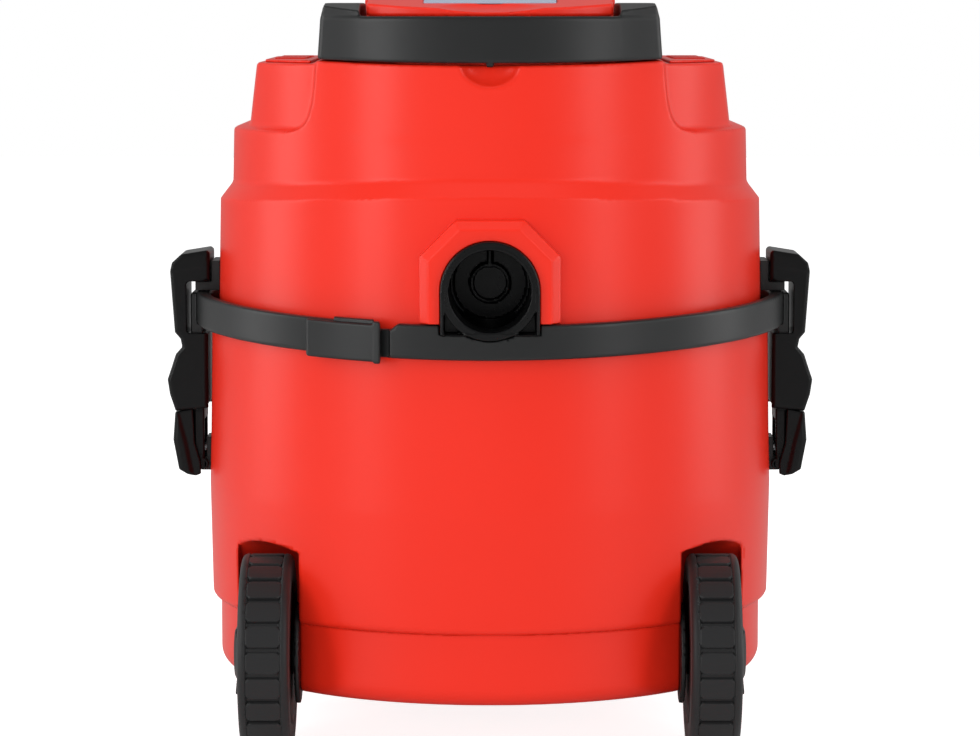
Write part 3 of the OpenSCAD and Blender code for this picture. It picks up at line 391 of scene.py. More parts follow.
def place(name: str, mesh: bpy.types.Mesh, body: str, slot: str, *nodes: str, look: str = "") -> bpy.types.Object:
    """Puts a finished mesh in the scene as a piece.

    Args:
        name: The piece's name.
        mesh: Its mesh, in metres.
        body: The CAD body that it moves with.
        slot: The record's material slot.
        nodes: The CAD nodes that it stands for.
        look: Its finish, where that isn't the slot's own.

    Returns:
        The piece.
    """
    piece = bpy.data.objects.new(name, mesh)
    bpy.context.scene.collection.objects.link(piece)
    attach(piece, body)
    if nodes:
        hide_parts(*nodes)
    mesh.materials.clear()
    mesh.materials.append(FINISHES[look or slot].material(soft=True))
    log.info("%s: %d faces", name, len(mesh.polygons))
    return piece


def make(name: str, cell: float, form: Form, space: tuple[Triple, Triple], body: str, slot: str, *nodes: str,
         look: str = "") -> None:
    """Meshes a form and puts it in the scene as a piece.

    Args:
        name: The piece's name.
        cell: Size of its mesh's cells in millimetres.
        form: Its shape.
        space: Lowest and highest corner of the space that holds it.
        body: The CAD body that it moves with.
        slot: The record's material slot.
        nodes: The CAD nodes that it stands for.
        look: Its finish, where that isn't the slot's own.
    """
    place(name, Net(cell).mesh(name, form, *space), body, slot, *nodes, look=look)


def rounded_bar(length: float, width: float, height: float, edge: float) -> bpy.types.Mesh:
    """A bar along X with rounded edges, centred on the origin.

    Args:
        length: Its length in millimetres.
        width: Its width along Y.
        height: Its height along Z.
        edge: Radius of its edges.

    Returns:
        The bar's mesh, in metres.
    """
    bm = bmesh.new()
    bmesh.ops.create_cube(bm, size=1.0)
    bmesh.ops.scale(bm, vec=(length * MM, width * MM, height * MM), verts=bm.verts)
    bmesh.ops.bevel(bm, geom=bm.edges[:], offset=edge * MM, segments=2, affect="EDGES")
    mesh = bpy.data.meshes.new("bar")
    bm.to_mesh(mesh)
    bm.free()
    return mesh


def around_mm(node: str, room: float = 2.0) -> tuple[Triple, Triple]:
    """A CAD node's box in millimetres, grown by some room."""
    low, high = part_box(node)
    return tuple(c / MM - room for c in low), tuple(c / MM + room for c in high)


# ---------- finishes ----------


class Graph:
    """A material's node tree."""

    def __init__(self, name: str) -> None:
        """Starts an empty material of that name."""
        self.built = bpy.data.materials.new(name)
        self.built.use_nodes = True
        self.tree = self.built.node_tree
        self.tree.nodes.clear()

    def add(self, kind: str, settings: dict | None = None, **inputs: object) -> bpy.types.Node:
        """Adds a node.

        Args:
            kind: The node's type.
            settings: Its properties, set before its inputs.
            inputs: Values or links, by input name with underscores for spaces, or as in0, in1 by number.

        Returns:
            The node.
        """
        node = self.tree.nodes.new(kind)
        for key, value in (settings or {}).items():
            setattr(node, key, value)
        for key, value in inputs.items():
            numbered = key[:2] == "in" and key[2:].isdigit()
            socket = node.inputs[int(key[2:]) if numbered else key.replace("_", " ")]
            if isinstance(value, Wire):
                value = value.socket
            if isinstance(value, bpy.types.NodeSocket):
                self.tree.links.new(value, socket)
            else:
                socket.default_value = value
        return node

    def wire(self, node: bpy.types.Node, output: int | str = 0) -> "Wire":
        """An output of a node, ready for arithmetic."""
        return Wire(self, node.outputs[output])


class Wire:
    """A number that varies over a surface and takes part in Python arithmetic."""

    def __init__(self, graph: Graph, socket: bpy.types.NodeSocket) -> None:
        """Wraps a node's output."""
        self.graph, self.socket = graph, socket

    def _with(self, operation: str, first: object, second: object, clamp: bool = False) -> "Wire":
        """Adds one Math node for an operation."""
        node = self.graph.add("ShaderNodeMath", {"operation": operation, "use_clamp": clamp}, in0=first, in1=second)
        return Wire(self.graph, node.outputs[0])

    def __add__(self, other: object) -> "Wire":
        """Sum."""
        return self._with("ADD", self, other)

    def __sub__(self, other: object) -> "Wire":
        """Difference."""
        return self._with("SUBTRACT", self, other)

    def __mul__(self, other: object) -> "Wire":
        """Product."""
        return self._with("MULTIPLY", self, other)

    def clamp(self) -> "Wire":
        """Kept between 0 and 1."""
        return self._with("ADD", self, 0.0, True)


class Grain(Enum):
    """How a surface's fine relief looks."""

    PEBBLED = "pebbled"
    BRUSHED = "brushed"
    PLEATED = "pleated"
    POROUS = "porous"


@dataclass(frozen=True)
class Finish:
    """One of the vacuum's finishes."""

    slot: str
    colour: Triple
    roughness: float
    shade_spread: float = 0.06
    roughness_spread: float = 0.08
    grain: Grain = Grain.PEBBLED
    grain_size: float = 0.0009
    grain_depth: float = 0.00003
    cloud_size: float = 0.12
    metallic: float = 0.0
    coat: float = 0.0
    coat_roughness: float = 0.2
    specular: float = 0.5
    sheen: float = 0.0
    edge: float = 0.0009
    spot_scale: float = 420.0
    relief_strength: float = 0.6

    def material(self, soft: bool = False) -> bpy.types.Material:
        """Builds the finish's material, or returns it if it is there.

        Args:
            soft: True for pieces whose edges are rounded in their mesh.

        Returns:
            The material.
        """
        name = self.slot + ("_soft" if soft else "_edged")
        if name in bpy.data.materials:
            return bpy.data.materials[name]
        g = Graph(name)
        place_of = g.add("ShaderNodeTexCoord").outputs["Object"]
        cloud = g.wire(g.add("ShaderNodeTexNoise", {"noise_dimensions": "3D"}, Vector=place_of,
                             Scale=1 / self.cloud_size, Detail=4.0, Roughness=0.55))
        fine = self._relief(g, place_of)
        spots = g.wire(g.add("ShaderNodeTexNoise", {}, Vector=place_of, Scale=self.spot_scale,
                             Detail=2.0, Roughness=0.6))
        spread = self.roughness_spread
        shade = (cloud - 0.5) * self.shade_spread * 2 + (spots - 0.5) * self.shade_spread * 0.5
        dark = tuple(c * 0.5 for c in self.colour)
        light = tuple(min(1.0, c * 1.5) for c in self.colour)
        tint = g.add("ShaderNodeMix", {"data_type": "RGBA", "blend_type": "MIX"}, Factor=(shade + 0.5).clamp())
        tint.inputs[6].default_value, tint.inputs[7].default_value = (*dark, 1.0), (*light, 1.0)
        rough = ((cloud - 0.5) * spread * 2 + (spots - 0.5) * spread + self.roughness).clamp()
        normal_in = {} if soft else {"Normal": g.add("ShaderNodeBevel", {"samples": 4}, Radius=self.edge).outputs[0]}
        bump = g.add("ShaderNodeBump", {}, Strength=self.relief_strength, Distance=self.grain_depth, Height=fine,
                     **normal_in)
        shader = g.add("ShaderNodeBsdfPrincipled", {}, Base_Color=tint.outputs[2], Roughness=rough,
                       Metallic=self.metallic, Normal=bump.outputs[0], Coat_Weight=self.coat,
                       Coat_Roughness=self.coat_roughness, Specular_IOR_Level=self.specular, Sheen_Weight=self.sheen)
        g.add("ShaderNodeOutputMaterial", {}, Surface=shader.outputs[0])
        return g.built

    def _relief(self, g: Graph, where: bpy.types.NodeSocket) -> Wire:
        """The height of the fine relief.

        Args:
            g: The material's tree.
            where: The place on the piece.

        Returns:
            Heights from 0 to 1.
        """
        if self.grain is Grain.BRUSHED:
            stretched = g.add("ShaderNodeMapping", {}, Vector=where, Scale=(1.0, 1.0, 0.04)).outputs[0]
            return g.wire(g.add("ShaderNodeTexNoise", {}, Vector=stretched, Scale=1 / self.grain_size, Detail=3.0))
        if self.grain is Grain.PLEATED:
            band = g.add("ShaderNodeTexWave", {"wave_type": "BANDS", "bands_direction": "Z"}, Vector=where,
                         Scale=1 / self.grain_size / 20, Distortion=2.0)
            fibre = g.wire(g.add("ShaderNodeTexNoise", {}, Vector=where, Scale=1 / self.grain_size, Detail=5.0))
            return g.wire(band) * 0.3 + fibre * 0.7
        cells = g.wire(g.add("ShaderNodeTexVoronoi", {"feature": "F1"}, Vector=where, Scale=1 / self.grain_size))
        if self.grain is Grain.POROUS:
            return cells
        soft = g.wire(g.add("ShaderNodeTexNoise", {}, Vector=where, Scale=0.5 / self.grain_size, Detail=2.0))
        return cells * 0.4 + soft * 0.6


FINISHES: dict[str, Finish] = {f.slot: f for f in (
    Finish("red_plastic", (0.92, 0.021, 0.008), 0.34, shade_spread=0.03, roughness_spread=0.03, grain_depth=0.000012,
           specular=0.3),
    Finish("black_plastic", (0.0072, 0.0078, 0.0080), 0.4, specular=0.4, grain_size=0.0007, grain_depth=0.00003),
    Finish("gloss_black", (0.0026, 0.0028, 0.0030), 0.3, specular=0.2, grain_size=0.0007, grain_depth=0.000008),
    Finish("dark_plastic", (0.015, 0.015, 0.016), 0.5),
    Finish("tyre_rubber", (0.0075, 0.0077, 0.0082), 0.5, specular=0.4, shade_spread=0.12, grain_size=0.0012,
           grain_depth=0.00006, sheen=0.05),
    Finish("seal_rubber", (0.02, 0.02, 0.02), 0.7),
    Finish("foam", (0.05, 0.05, 0.05), 0.95, grain=Grain.POROUS, grain_size=0.0015, grain_depth=0.0006),
    Finish("steel", (0.55, 0.56, 0.58), 0.32, grain=Grain.BRUSHED, metallic=1.0, grain_size=0.0006,
           grain_depth=0.00001),
    Finish("alloy", (0.66, 0.67, 0.69), 0.4, grain=Grain.BRUSHED, metallic=1.0, grain_size=0.0008, grain_depth=0.00002),
    Finish("filter_paper", (0.80, 0.76, 0.66), 0.9, shade_spread=0.15, grain=Grain.PLEATED, grain_size=0.0007,
           grain_depth=0.0001),
    Finish("float_plastic", (0.78, 0.78, 0.74), 0.45),
    Finish("panel_grey", (0.36, 0.42, 0.52), 0.5, grain_depth=0.00002),
)}


# ---------- repeated features ----------


class Repeat:
    """Geometry Nodes trees that repeat a small mesh, with their results baked."""

    def __init__(self) -> None:
        """Builds the ring and the row tree."""
        self.ring = self._ring_tree()
        self.row = self._row_tree()

    @staticmethod
    def _start(name: str, **inputs: str) -> tuple[bpy.types.GeometryNodeTree, bpy.types.Node]:
        """A tree with its group input.

        Args:
            name: The tree's name.
            inputs: Socket types by input name, after the geometry.

        Returns:
            The tree and its input node.
        """
        tree = bpy.data.node_groups.new(name, "GeometryNodeTree")
        tree.interface.new_socket("Shape", in_out="INPUT", socket_type="NodeSocketGeometry")
        for label, kind in inputs.items():
            tree.interface.new_socket(label, in_out="INPUT", socket_type="NodeSocket" + kind)
        tree.interface.new_socket("Result", in_out="OUTPUT", socket_type="NodeSocketGeometry")
        return tree, tree.nodes.new("NodeGroupInput")

    @staticmethod
    def _finish(tree: bpy.types.GeometryNodeTree, given: bpy.types.Node, copies: bpy.types.NodeSocket) -> None:
        """Ends a tree in real geometry that has its material.

        Args:
            tree: The tree.
            given: Its group input.
            copies: The instances that it makes.
        """
        real, dress = (tree.nodes.new("GeometryNode" + kind) for kind in ("RealizeInstances", "SetMaterial"))
        tree.links.new(copies, real.inputs[0])
        tree.links.new(real.outputs[0], dress.inputs["Geometry"])
        tree.links.new(given.outputs["Finish"], dress.inputs["Material"])
        tree.links.new(dress.outputs[0], tree.nodes.new("NodeGroupOutput").inputs[0])

    def _ring_tree(self) -> bpy.types.GeometryNodeTree:
        """Copies turned about an axis through a centre."""
        tree, given = self._start("ring_of_copies", Count="Int", Centre="Vector", Axis="Vector", Step="Float",
                                  Finish="Material")
        points = tree.nodes.new("GeometryNodePoints")
        index = tree.nodes.new("GeometryNodeInputIndex")
        times = tree.nodes.new("ShaderNodeMath")
        times.operation = "MULTIPLY"
        turn = tree.nodes.new("FunctionNodeAxisAngleToRotation")
        spread = tree.nodes.new("GeometryNodeInstanceOnPoints")
        for source, target in (
                (given.outputs["Count"], points.inputs["Count"]), (given.outputs["Centre"], points.inputs["Position"]),
                (index.outputs[0], times.inputs[0]), (given.outputs["Step"], times.inputs[1]),
                (given.outputs["Axis"], turn.inputs["Axis"]), (times.outputs[0], turn.inputs["Angle"]),
                (points.outputs[0], spread.inputs["Points"]), (given.outputs["Shape"], spread.inputs["Instance"]),
                (turn.outputs[0], spread.inputs["Rotation"])):
            tree.links.new(source, target)
        self._finish(tree, given, spread.outputs[0])
        return tree

    def _row_tree(self) -> bpy.types.GeometryNodeTree:
        """Copies set out in a straight row."""
        tree, given = self._start("row_of_copies", Count="Int", First="Vector", Pitch="Vector", Finish="Material")
        line = tree.nodes.new("GeometryNodeMeshLine")
        spread = tree.nodes.new("GeometryNodeInstanceOnPoints")
        for source, target in (
                (given.outputs["Count"], line.inputs["Count"]), (given.outputs["First"], line.inputs["Start Location"]),
                (given.outputs["Pitch"], line.inputs["Offset"]), (line.outputs[0], spread.inputs["Points"]),
                (given.outputs["Shape"], spread.inputs["Instance"])):
            tree.links.new(source, target)
        self._finish(tree, given, spread.outputs[0])
        return tree

    @staticmethod
    def bake(tree: bpy.types.GeometryNodeTree, name: str, shape: bpy.types.Mesh, **values: object) -> bpy.types.Mesh:
        """Runs a tree on a small mesh and keeps the plain result.

        Args:
            tree: The tree.
            name: Name of the new mesh.
            shape: The mesh that is repeated.
            values: The tree's inputs, by name.

        Returns:
            The repeated mesh.
        """
        holder = bpy.data.objects.new(name + "_source", shape)
        bpy.context.scene.collection.objects.link(holder)
        modifier = holder.modifiers.new("repeat", "NODES")
        modifier.node_group = tree
        sockets = {s.name: s.identifier for s in tree.interface.items_tree if s.in_out == "INPUT"}
        for key, value in values.items():
            modifier[sockets[key]] = value
        seen = holder.evaluated_get(bpy.context.evaluated_depsgraph_get())
        mesh = bpy.data.meshes.new_from_object(seen)
        mesh.name = name
        bpy.data.objects.remove(holder)
        return mesh


# ---------- the vacuum's parts ----------


@dataclass
class MotorHead:
    """Red motor head: drum, arched bevel, skirt, raised middle, side pods and the body under the lid."""

    drum_radius: float = 185.0
    drum_top: Pair = (182.7, 366.4)
    bevel_top: Pair = (173.9, 377.0)
    arch_radius: float = 1893.0
    skirt_foot: Pair = (176.4, 270.0)
    shoulder: Pair = (173.3, 405.2)
    shoulder_inner: Pair = (161.0, 410.3)
    crown_side: tuple[Pair, ...] = (
        (135.0, 396.0), (133.0, 405.8), (127.0, 406.6), (123.0, 408.2), (119.6, 411.3), (117.2, 415.5),
        (115.6, 420.5), (114.2, 427.0), (113.3, 434.0), (111.6, 454.5))
    crown_top: float = 449.6
    crown_rise: float = 2.6
    crown_half: float = 111.0
    pod_radius: float = 167.0
    pod_half: Pair = (162.0, 154.2)
    pod_top: float = 450.0
    cover_stand: float = 2.0
    hollow: tuple[Pair, ...] = ((-40, 250), (176, 250), (176, 335), (164, 350), (164, 390), (-40, 390))
    handle_pivot: Pair = (20.0, 465.5)
    lid_hinge: Pair = (44.0, 488.0)
    finger_recess: tuple[Triple, Triple] = ((0.0, -174.5, 452.0), (20.0, 10.0, 16.0))
    cowl_front: float = -195.5
    cowl_back: float = -172.0
    cowl_outline: tuple[Pair, ...] = (
        (-44.8, 250.0), (-44.8, 329.6), (-21.5, 352.9), (21.5, 352.9), (44.8, 329.6), (44.8, 250.0))
    cowl_frame: float = 5.8
    cowl_foot: float = 287.3
    rim_foot: float = 287.0
    rim_radius: float = 189.0
    seam_bend: float = 4984.0
    slat_count: int = 10
    slat_pitch: float = 11.4

    def _arched(self, form: Form) -> Form:
        """A form bent so that it lies lower at the sides."""
        return Form(lambda p: form.distance(p + np.outer(p[:, 0] ** 2 / (2 * self.arch_radius), (0, 0, 1))))

    def _cowl(self) -> Form:
        """Octagonal cowl with a sloping frame round its front."""
        inner = inset(self.cowl_outline, self.cowl_frame)

        def distance(p: np.ndarray) -> np.ndarray:
            """Distance to the sides, the frame and the flat front."""
            behind = p[:, 1] - self.cowl_front
            frame_face = (outline_distance(p[:, 0], p[:, 2], inner) - behind) / math.sqrt(2)
            front = rounded_max(frame_face, -behind, 0.8)
            sides = outline_distance(p[:, 0], p[:, 2], self.cowl_outline)
            return np.maximum(rounded_max(sides, front, 0.8), p[:, 1] - self.cowl_back)

        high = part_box("hose_inlet")[1]
        ring = high.x / MM + 0.3
        z = high.z / MM - high.x / MM
        cowl = Form(distance).cut(rod(Axis.Y, -230, -100, (0, z), ring), 0.4)
        cowl = cowl.cut(block((-ring, -230, 200), (ring, -100, z)), 0.4)
        return cowl.meet(Form(lambda p: self.cowl_foot + p[:, 0] ** 2 / self.seam_bend - p[:, 2]), 0.3)

    def _drum(self) -> Form:
        """The drum with its arched bevel, the skirt above it and the pods at its sides."""
        drum = lathe(Axis.Z, [(-40, 250), (self.drum_radius, 250), self.drum_top, self.bevel_top, (-40, 377)], edge=1.0)
        skirt = lathe(Axis.Z, [(-40, 270), self.skirt_foot, self.shoulder, self.shoulder_inner, (-40, 417)], edge=2.8)
        foot, top = self.pod_half
        pod = prism(Axis.Y, [(60, 396), (foot, 396), (top, self.pod_top), (60, self.pod_top)], -190, 190, 2.5)
        pods = pod.meet(rod(Axis.Z, 300, 500, (0, 0), self.pod_radius), 2.5).both_sides()
        return self._arched(drum).join(skirt, 1.2).join(pods, 2.2)

    def _crown(self) -> Form:
        """The raised middle, whose top follows the handle's grip."""
        cone = lathe(Axis.Z, [(-40, 340), (174.3, 340), (172.6, 460), (-40, 460)])
        side = list(self.crown_side)
        crown = prism(Axis.Y, [(-x, z) for x, z in side] + side[::-1], -190, 190, 1.0).meet(cone, 1.2)

        def over(p: np.ndarray) -> np.ndarray:
            """Height over the crown's top, which rises to the sides in front of the pivots."""
            rise = self.crown_rise * (p[:, 0] / self.crown_half) ** 2 * np.clip(-1 - p[:, 1] / 30, 0, 1)
            return p[:, 2] - self.crown_top - rise

        return crown.meet(Form(over), 1.8)

    def _lid_body(self) -> Form:
        """The body under the lid and behind it."""
        body = block((-82, -200, 430), (82, 60, 480.3), 2.0).join(block((-111.6, 38, 430), (111.6, 200, 481), 4.0), 1.5)
        return body.meet(rod(Axis.Z, 380, 500, (0, 0), -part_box("lid")[0].y / MM), 1.2)

    def _lugs(self) -> Form:
        """The lugs that hold the lid's hinge, clear of the handle's arms."""
        lug = rod(Axis.X, 79.5, 82.4, self.lid_hinge, 6, 1.0).join(block((79.5, 38, 470), (82.4, 50, 488), 1.0))
        lug = lug.join(rod(Axis.X, 81, 86, self.lid_hinge, 4, 0.8)).join(block((81, 40, 470), (86, 50, 488), 0.8))
        return lug.both_sides()

    def form(self) -> Form:
        """The head's whole shape."""
        hood_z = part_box("motor_hood")[0].z / MM
        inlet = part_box("hose_inlet")[1]
        ring = inlet.x / MM
        inlet_z = inlet.z / MM - ring

        def deep(p: np.ndarray) -> np.ndarray:
            """Fillet that fades out towards the head's outer face."""
            return np.clip((171.5 - np.hypot(p[:, 0], p[:, 1])) / 6, 0, 1) * 3.0

        head = self._drum().join_where(self._crown(), deep).join(self._lid_body(), 1.2)
        head = head.join(rod(Axis.Y, 150, 174.5, (0, 424), 23, 1.5), 2.0)
        head = head.join(rod(Axis.Y, 150, 173.6, (-70, 325), 14, 1.0), 1.5).join(self._lugs())
        head = head.meet(Form(lambda p: hood_z - p[:, 2]))
        band_top = Form(lambda p: p[:, 2] - (self.rim_foot + p[:, 0] ** 2 / self.seam_bend))
        head = head.cut(band_top.cut(rod(Axis.Z, 200, 400, (0, 0), self.rim_radius)), 0.6)
        head = head.cut(rod(Axis.Y, -230, -108, (0, inlet_z), 28.2))
        head = head.cut(rod(Axis.Y, -230, -182, (0, inlet_z), ring + 0.3))
        head = head.cut(block((-ring - 0.3, -230, 200), (ring + 0.3, -182, inlet_z)))
        head = head.cut(bowl(*self.finger_recess), 2.0)
        tray = block((-74, -150, 451), (74, 7, 520), 4.0).meet(rod(Axis.Z, 400, 600, (0, 0), 150), 2.0)
        head = head.cut(tray, 1.0).cut(rod(Axis.X, 82.2, 112.5, self.handle_pivot, 17.0).both_sides(), 0.5)
        head = head.cut(lathe(Axis.Z, self.hollow), 1.0)
        return head.cut(block((120.6, -60, 445.5), (142, 60, 470), 1.0).both_sides(), 0.5)

    def _cover(self, side: str, repeat: Repeat) -> None:
        """Makes one pod's slatted exhaust cover.

        Args:
            side: Which pod.
            repeat: The trees that repeat a mesh.
        """
        node = f"exhaust_cover_{side}"
        (x0, y0, z0), (x1, y1, z1) = around_mm(node, 0.0)
        z1 = min(z1, self.pod_top + self.cover_stand)
        rim = rod(Axis.Z, z0, z1, (0, 0), 162, 1.2).meet(block((x0, y0, z0 - 9), (x1, y1, z1 + 9), 1.2), 1.5)
        rim = rim.cut(block((x0 + 6, -56, z0 - 5), (x1 - 6, 56, z1 + 5), 0.5), 0.8)
        make(f"exhaust_frame_{side}", 1.3, rim, around_mm(node), "drum", "red_plastic", node)
        first = ((x0 + x1) / 2 * MM, -(self.slat_count - 1) / 2 * self.slat_pitch * MM, (z0 + 1.5) * MM)
        slats = repeat.bake(repeat.row, f"exhaust_slats_{side}", rounded_bar(x1 - x0 - 11.6, 7.2, 2.6, 0.8),
                            Count=self.slat_count, First=first, Pitch=(0.0, self.slat_pitch * MM, 0.0),
                            Finish=FINISHES["red_plastic"].material())
        place(f"exhaust_slats_{side}", slats, "drum", "red_plastic")

    def build(self, repeat: Repeat) -> None:
        """Makes the head's piece, its cowl and the exhaust covers."""
        make("motor_head", 2.3, self.form(), around_mm("motor_hood"), "drum", "red_plastic", "motor_hood")
        make("cowl", 1.2, self._cowl(), ((-46.5, -197, 285), (46.5, -170, 356)), "drum", "red_plastic")
        for side in SIDES:
            self._cover(side, repeat)


@dataclass
class Tank:
    """Red open-topped tank with its stepped foot, wheel wells and castor pockets."""

    foot: Pair = (184.0, 40.0)
    corner: float = 12.0
    step: tuple[Pair, ...] = ((-40, 87.8), (189.45, 87.8), (191, 165), (190.2, 200), (189, 274), (-40, 274))
    inside: tuple[Pair, ...] = (
        (-40, 46), (171, 46), (178, 53), (178, 92), (184, 99), (185.6, 165), (184, 200), (184, 290), (-40, 290))
    wall: float = 5.0
    well: Pair = (124.0, 166.0)
    well_radius: float = 73.0
    pocket: tuple[float, float, float, float] = (85.0, 96.0, 45.0, 64.0)

    def _wells(self, room: float) -> Form:
        """Both wheel wells, grown by some room."""
        low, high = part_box("wheel_tyre_left")
        y, z = (low.y + high.y) / 2 / MM, (low.z + high.z) / 2 / MM
        a, b, radius = self.well[0] - room, self.well[1] + room, self.well_radius + room
        return rod(Axis.X, a, b, (y, z), radius).join(block((a, y - radius, -60), (b, y + radius, z))).both_sides()

    def _pockets(self, room: float) -> Form:
        """Both castor pockets, grown by some room."""
        x, y, radius, roof = self.pocket
        return rod(Axis.Z, -60, roof + room, (x, y), radius + room, 2.0).both_sides()

    def form(self) -> Form:
        """The tank's walls, with its wells and pockets."""
        radius, floor = self.foot
        foot = lathe(Axis.Z, [(-40, floor), (radius, floor), (radius, 200), (-40, 200)], edge=self.corner)
        tank = foot.join(lathe(Axis.Z, self.step, edge=4.0), 1.2)
        inside = lathe(Axis.Z, self.inside).cut(self._wells(self.wall)).cut(self._pockets(self.wall))
        return tank.cut(self._wells(0.0), 1.5).cut(self._pockets(0.0), 1.5).cut(inside, 0.5)

    def build(self) -> None:
        """Makes the tank's piece."""
        make("tank_shell", 2.4, self.form(), around_mm("tank"), "drum", "red_plastic", "tank")


@dataclass
class SeamBand:
    """Black band that follows the seam, rising to the sides, with its buckle."""

    radius: float = 199.25
    inner: float = 190.0
    slot_floor: float = 196.0
    low: float = 264.7
    high: float = 286.7
    arc: float = 2492.0
    boss: tuple[Triple, Triple] = ((-202.9, -19, 264.5), (202.9, 19, 293.5))
    buckle: Pair = (-117.5, -69.5)

    def _strap(self, inner: float, outer: float, low: float, high: float, edge: float) -> Form:
        """A strap round the vacuum between two radii and two levels."""

        def distance(p: np.ndarray) -> np.ndarray:
            """Distance to the strap's rounded section."""
            r = np.hypot(p[:, 0], p[:, 1])
            flat = np.abs(r - (inner + outer) / 2) - (outer - inner) / 2 + edge
            return pushed(flat, p[:, 2] - p[:, 0] ** 2 / (2 * self.arc), low, high, edge)

        return Form(distance)

    def _band(self) -> Form:
        """The band, seated round the inlet, notched beside the buckle and thickened under the clips."""
        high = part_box("hose_inlet")[1]
        ring = high.x / MM
        wide = ring + 0.3
        strap = self._strap(self.inner, self.radius, self.low, self.high, 1.8)
        seat = prism(Axis.Y, [(-wide, 281.0), (wide, 281.0), (wide, 320), (-wide, 320)], -230, 0)
        seat = seat.join(rod(Axis.Y, -230, 0, (0, high.z / MM - ring), ring + 0.2))
        notch = prism(Axis.Y, [(-72, 283.6), (-62.5, 283.6), (-58, 287.4), (-58, 300), (-72, 300)], -230, 0, 0.5)
        core = rod(Axis.Z, 200, 400, (0, 0), self.slot_floor)
        recess = rod(Axis.Z, 200, 400, (0, 0), 230).cut(core).meet(block((-70.5, -230, 200), (-63.5, 0, 400)))
        strap = strap.cut(seat, 0.4).cut(notch, 0.8).cut(recess, 0.4)
        return strap.join(block(*self.boss, 1.5).cut(core), 0.8)

    def _buckle(self) -> Form:
        """The buckle: sleeve, end wall and the lip above it."""
        left, right = self.buckle

        def between(a: float, b: float) -> Form:
            """The space behind the vacuum between two places along X."""
            return block((a, -230, 200), (b, 0, 320))

        sleeve = self._strap(197.0, 202.6, self.low - 2.7, self.high - 0.9, 1.3).meet(between(left, right), 1.5)
        wall = self._strap(self.slot_floor, 203.4, self.low - 3.7, self.high + 1.0, 1.2)
        wall = wall.meet(between(right - 4.5, right), 1.2)
        lip = self._strap(192.0, 199.0, self.high - 2.0, self.high + 1.7, 0.8).meet(between(left + 18, right - 4), 1.0)
        return sleeve.join(wall, 0.8).join(lip, 0.5)

    def build(self) -> None:
        """Makes the band's and the buckle's piece."""
        low, high = around_mm("seam_band")
        space = (min(low[0], -205), low[1], low[2]), (max(high[0], 205), high[1], high[2])
        make("band", 1.7, self._band(), space, "drum", "black_plastic", "seam_band")
        make("buckle", 1.1, self._buckle(), around_mm("band_buckle", 5), "drum", "black_plastic", "band_buckle")


@dataclass
class HoseInlet:
    """Black inlet sleeve with its arched surround, inner steps and duct."""

    mouth: float = -199.5
    bore: float = 25.9
    wall: float = 2.4
    depth: float = 81.0
    arch_foot: float = 280.4
    duct_y: float = -143.4

    def build(self) -> None:
        """Makes the inlet's piece."""
        low, high = around_mm("hose_inlet")
        ring = high[0] - 2
        z, foot = high[2] - 2 - ring, low[2] + 2
        front, arch_foot = self.mouth, self.arch_foot

        def tube(start: float, end: float, radius: float, edge: float) -> Form:
            """A round piece on the bore's axis, between two depths."""
            return rod(Axis.Y, front + start, front + end, (0, z), radius, edge)

        arch = block((-ring, front, arch_foot), (ring, front + 17, z), 0.8)
        side = ring - self.wall
        arch = arch.cut(block((-side, front - 9, arch_foot + 1), (side, front + 15, z), 0.6))
        duct = rod(Axis.Z, foot, z, (0, self.duct_y), self.bore - 0.5, 0.4)
        body = tube(0, self.depth + 3, self.bore + 2, 0.8).join(duct, 1.0).join(arch, 0.5)
        body = body.join(tube(0, 7, ring, 1.2), 0.6)
        for x in (-19.0, 16.0):
            rib = block((x - 1.1, front + 4, arch_foot), (x + 1.1, front + 15, z - self.bore), 0.4)
            body = body.join(rib, 0.4)
        body = body.cut(tube(-9, self.depth, self.bore - 2.3, 0.0), 0.4).cut(tube(-9, 72, self.bore, 0.0), 1.2)
        body = body.cut(rod(Axis.Z, foot - 5, z, (0, self.duct_y), self.bore - 3))
        ledge = tube(73, 82, 13.0, 0.5).cut(tube(60, 79, 10.8, 0.4))
        tick = block((-1.4, front + 73, z + 10), (1.4, front + 82, z + 22), 0.4)
        make("inlet_sleeve", 1.25, body.join(ledge, 0.6).join(tick, 0.4), (low, high), "drum", "black_plastic",
             "hose_inlet", look="gloss_black")


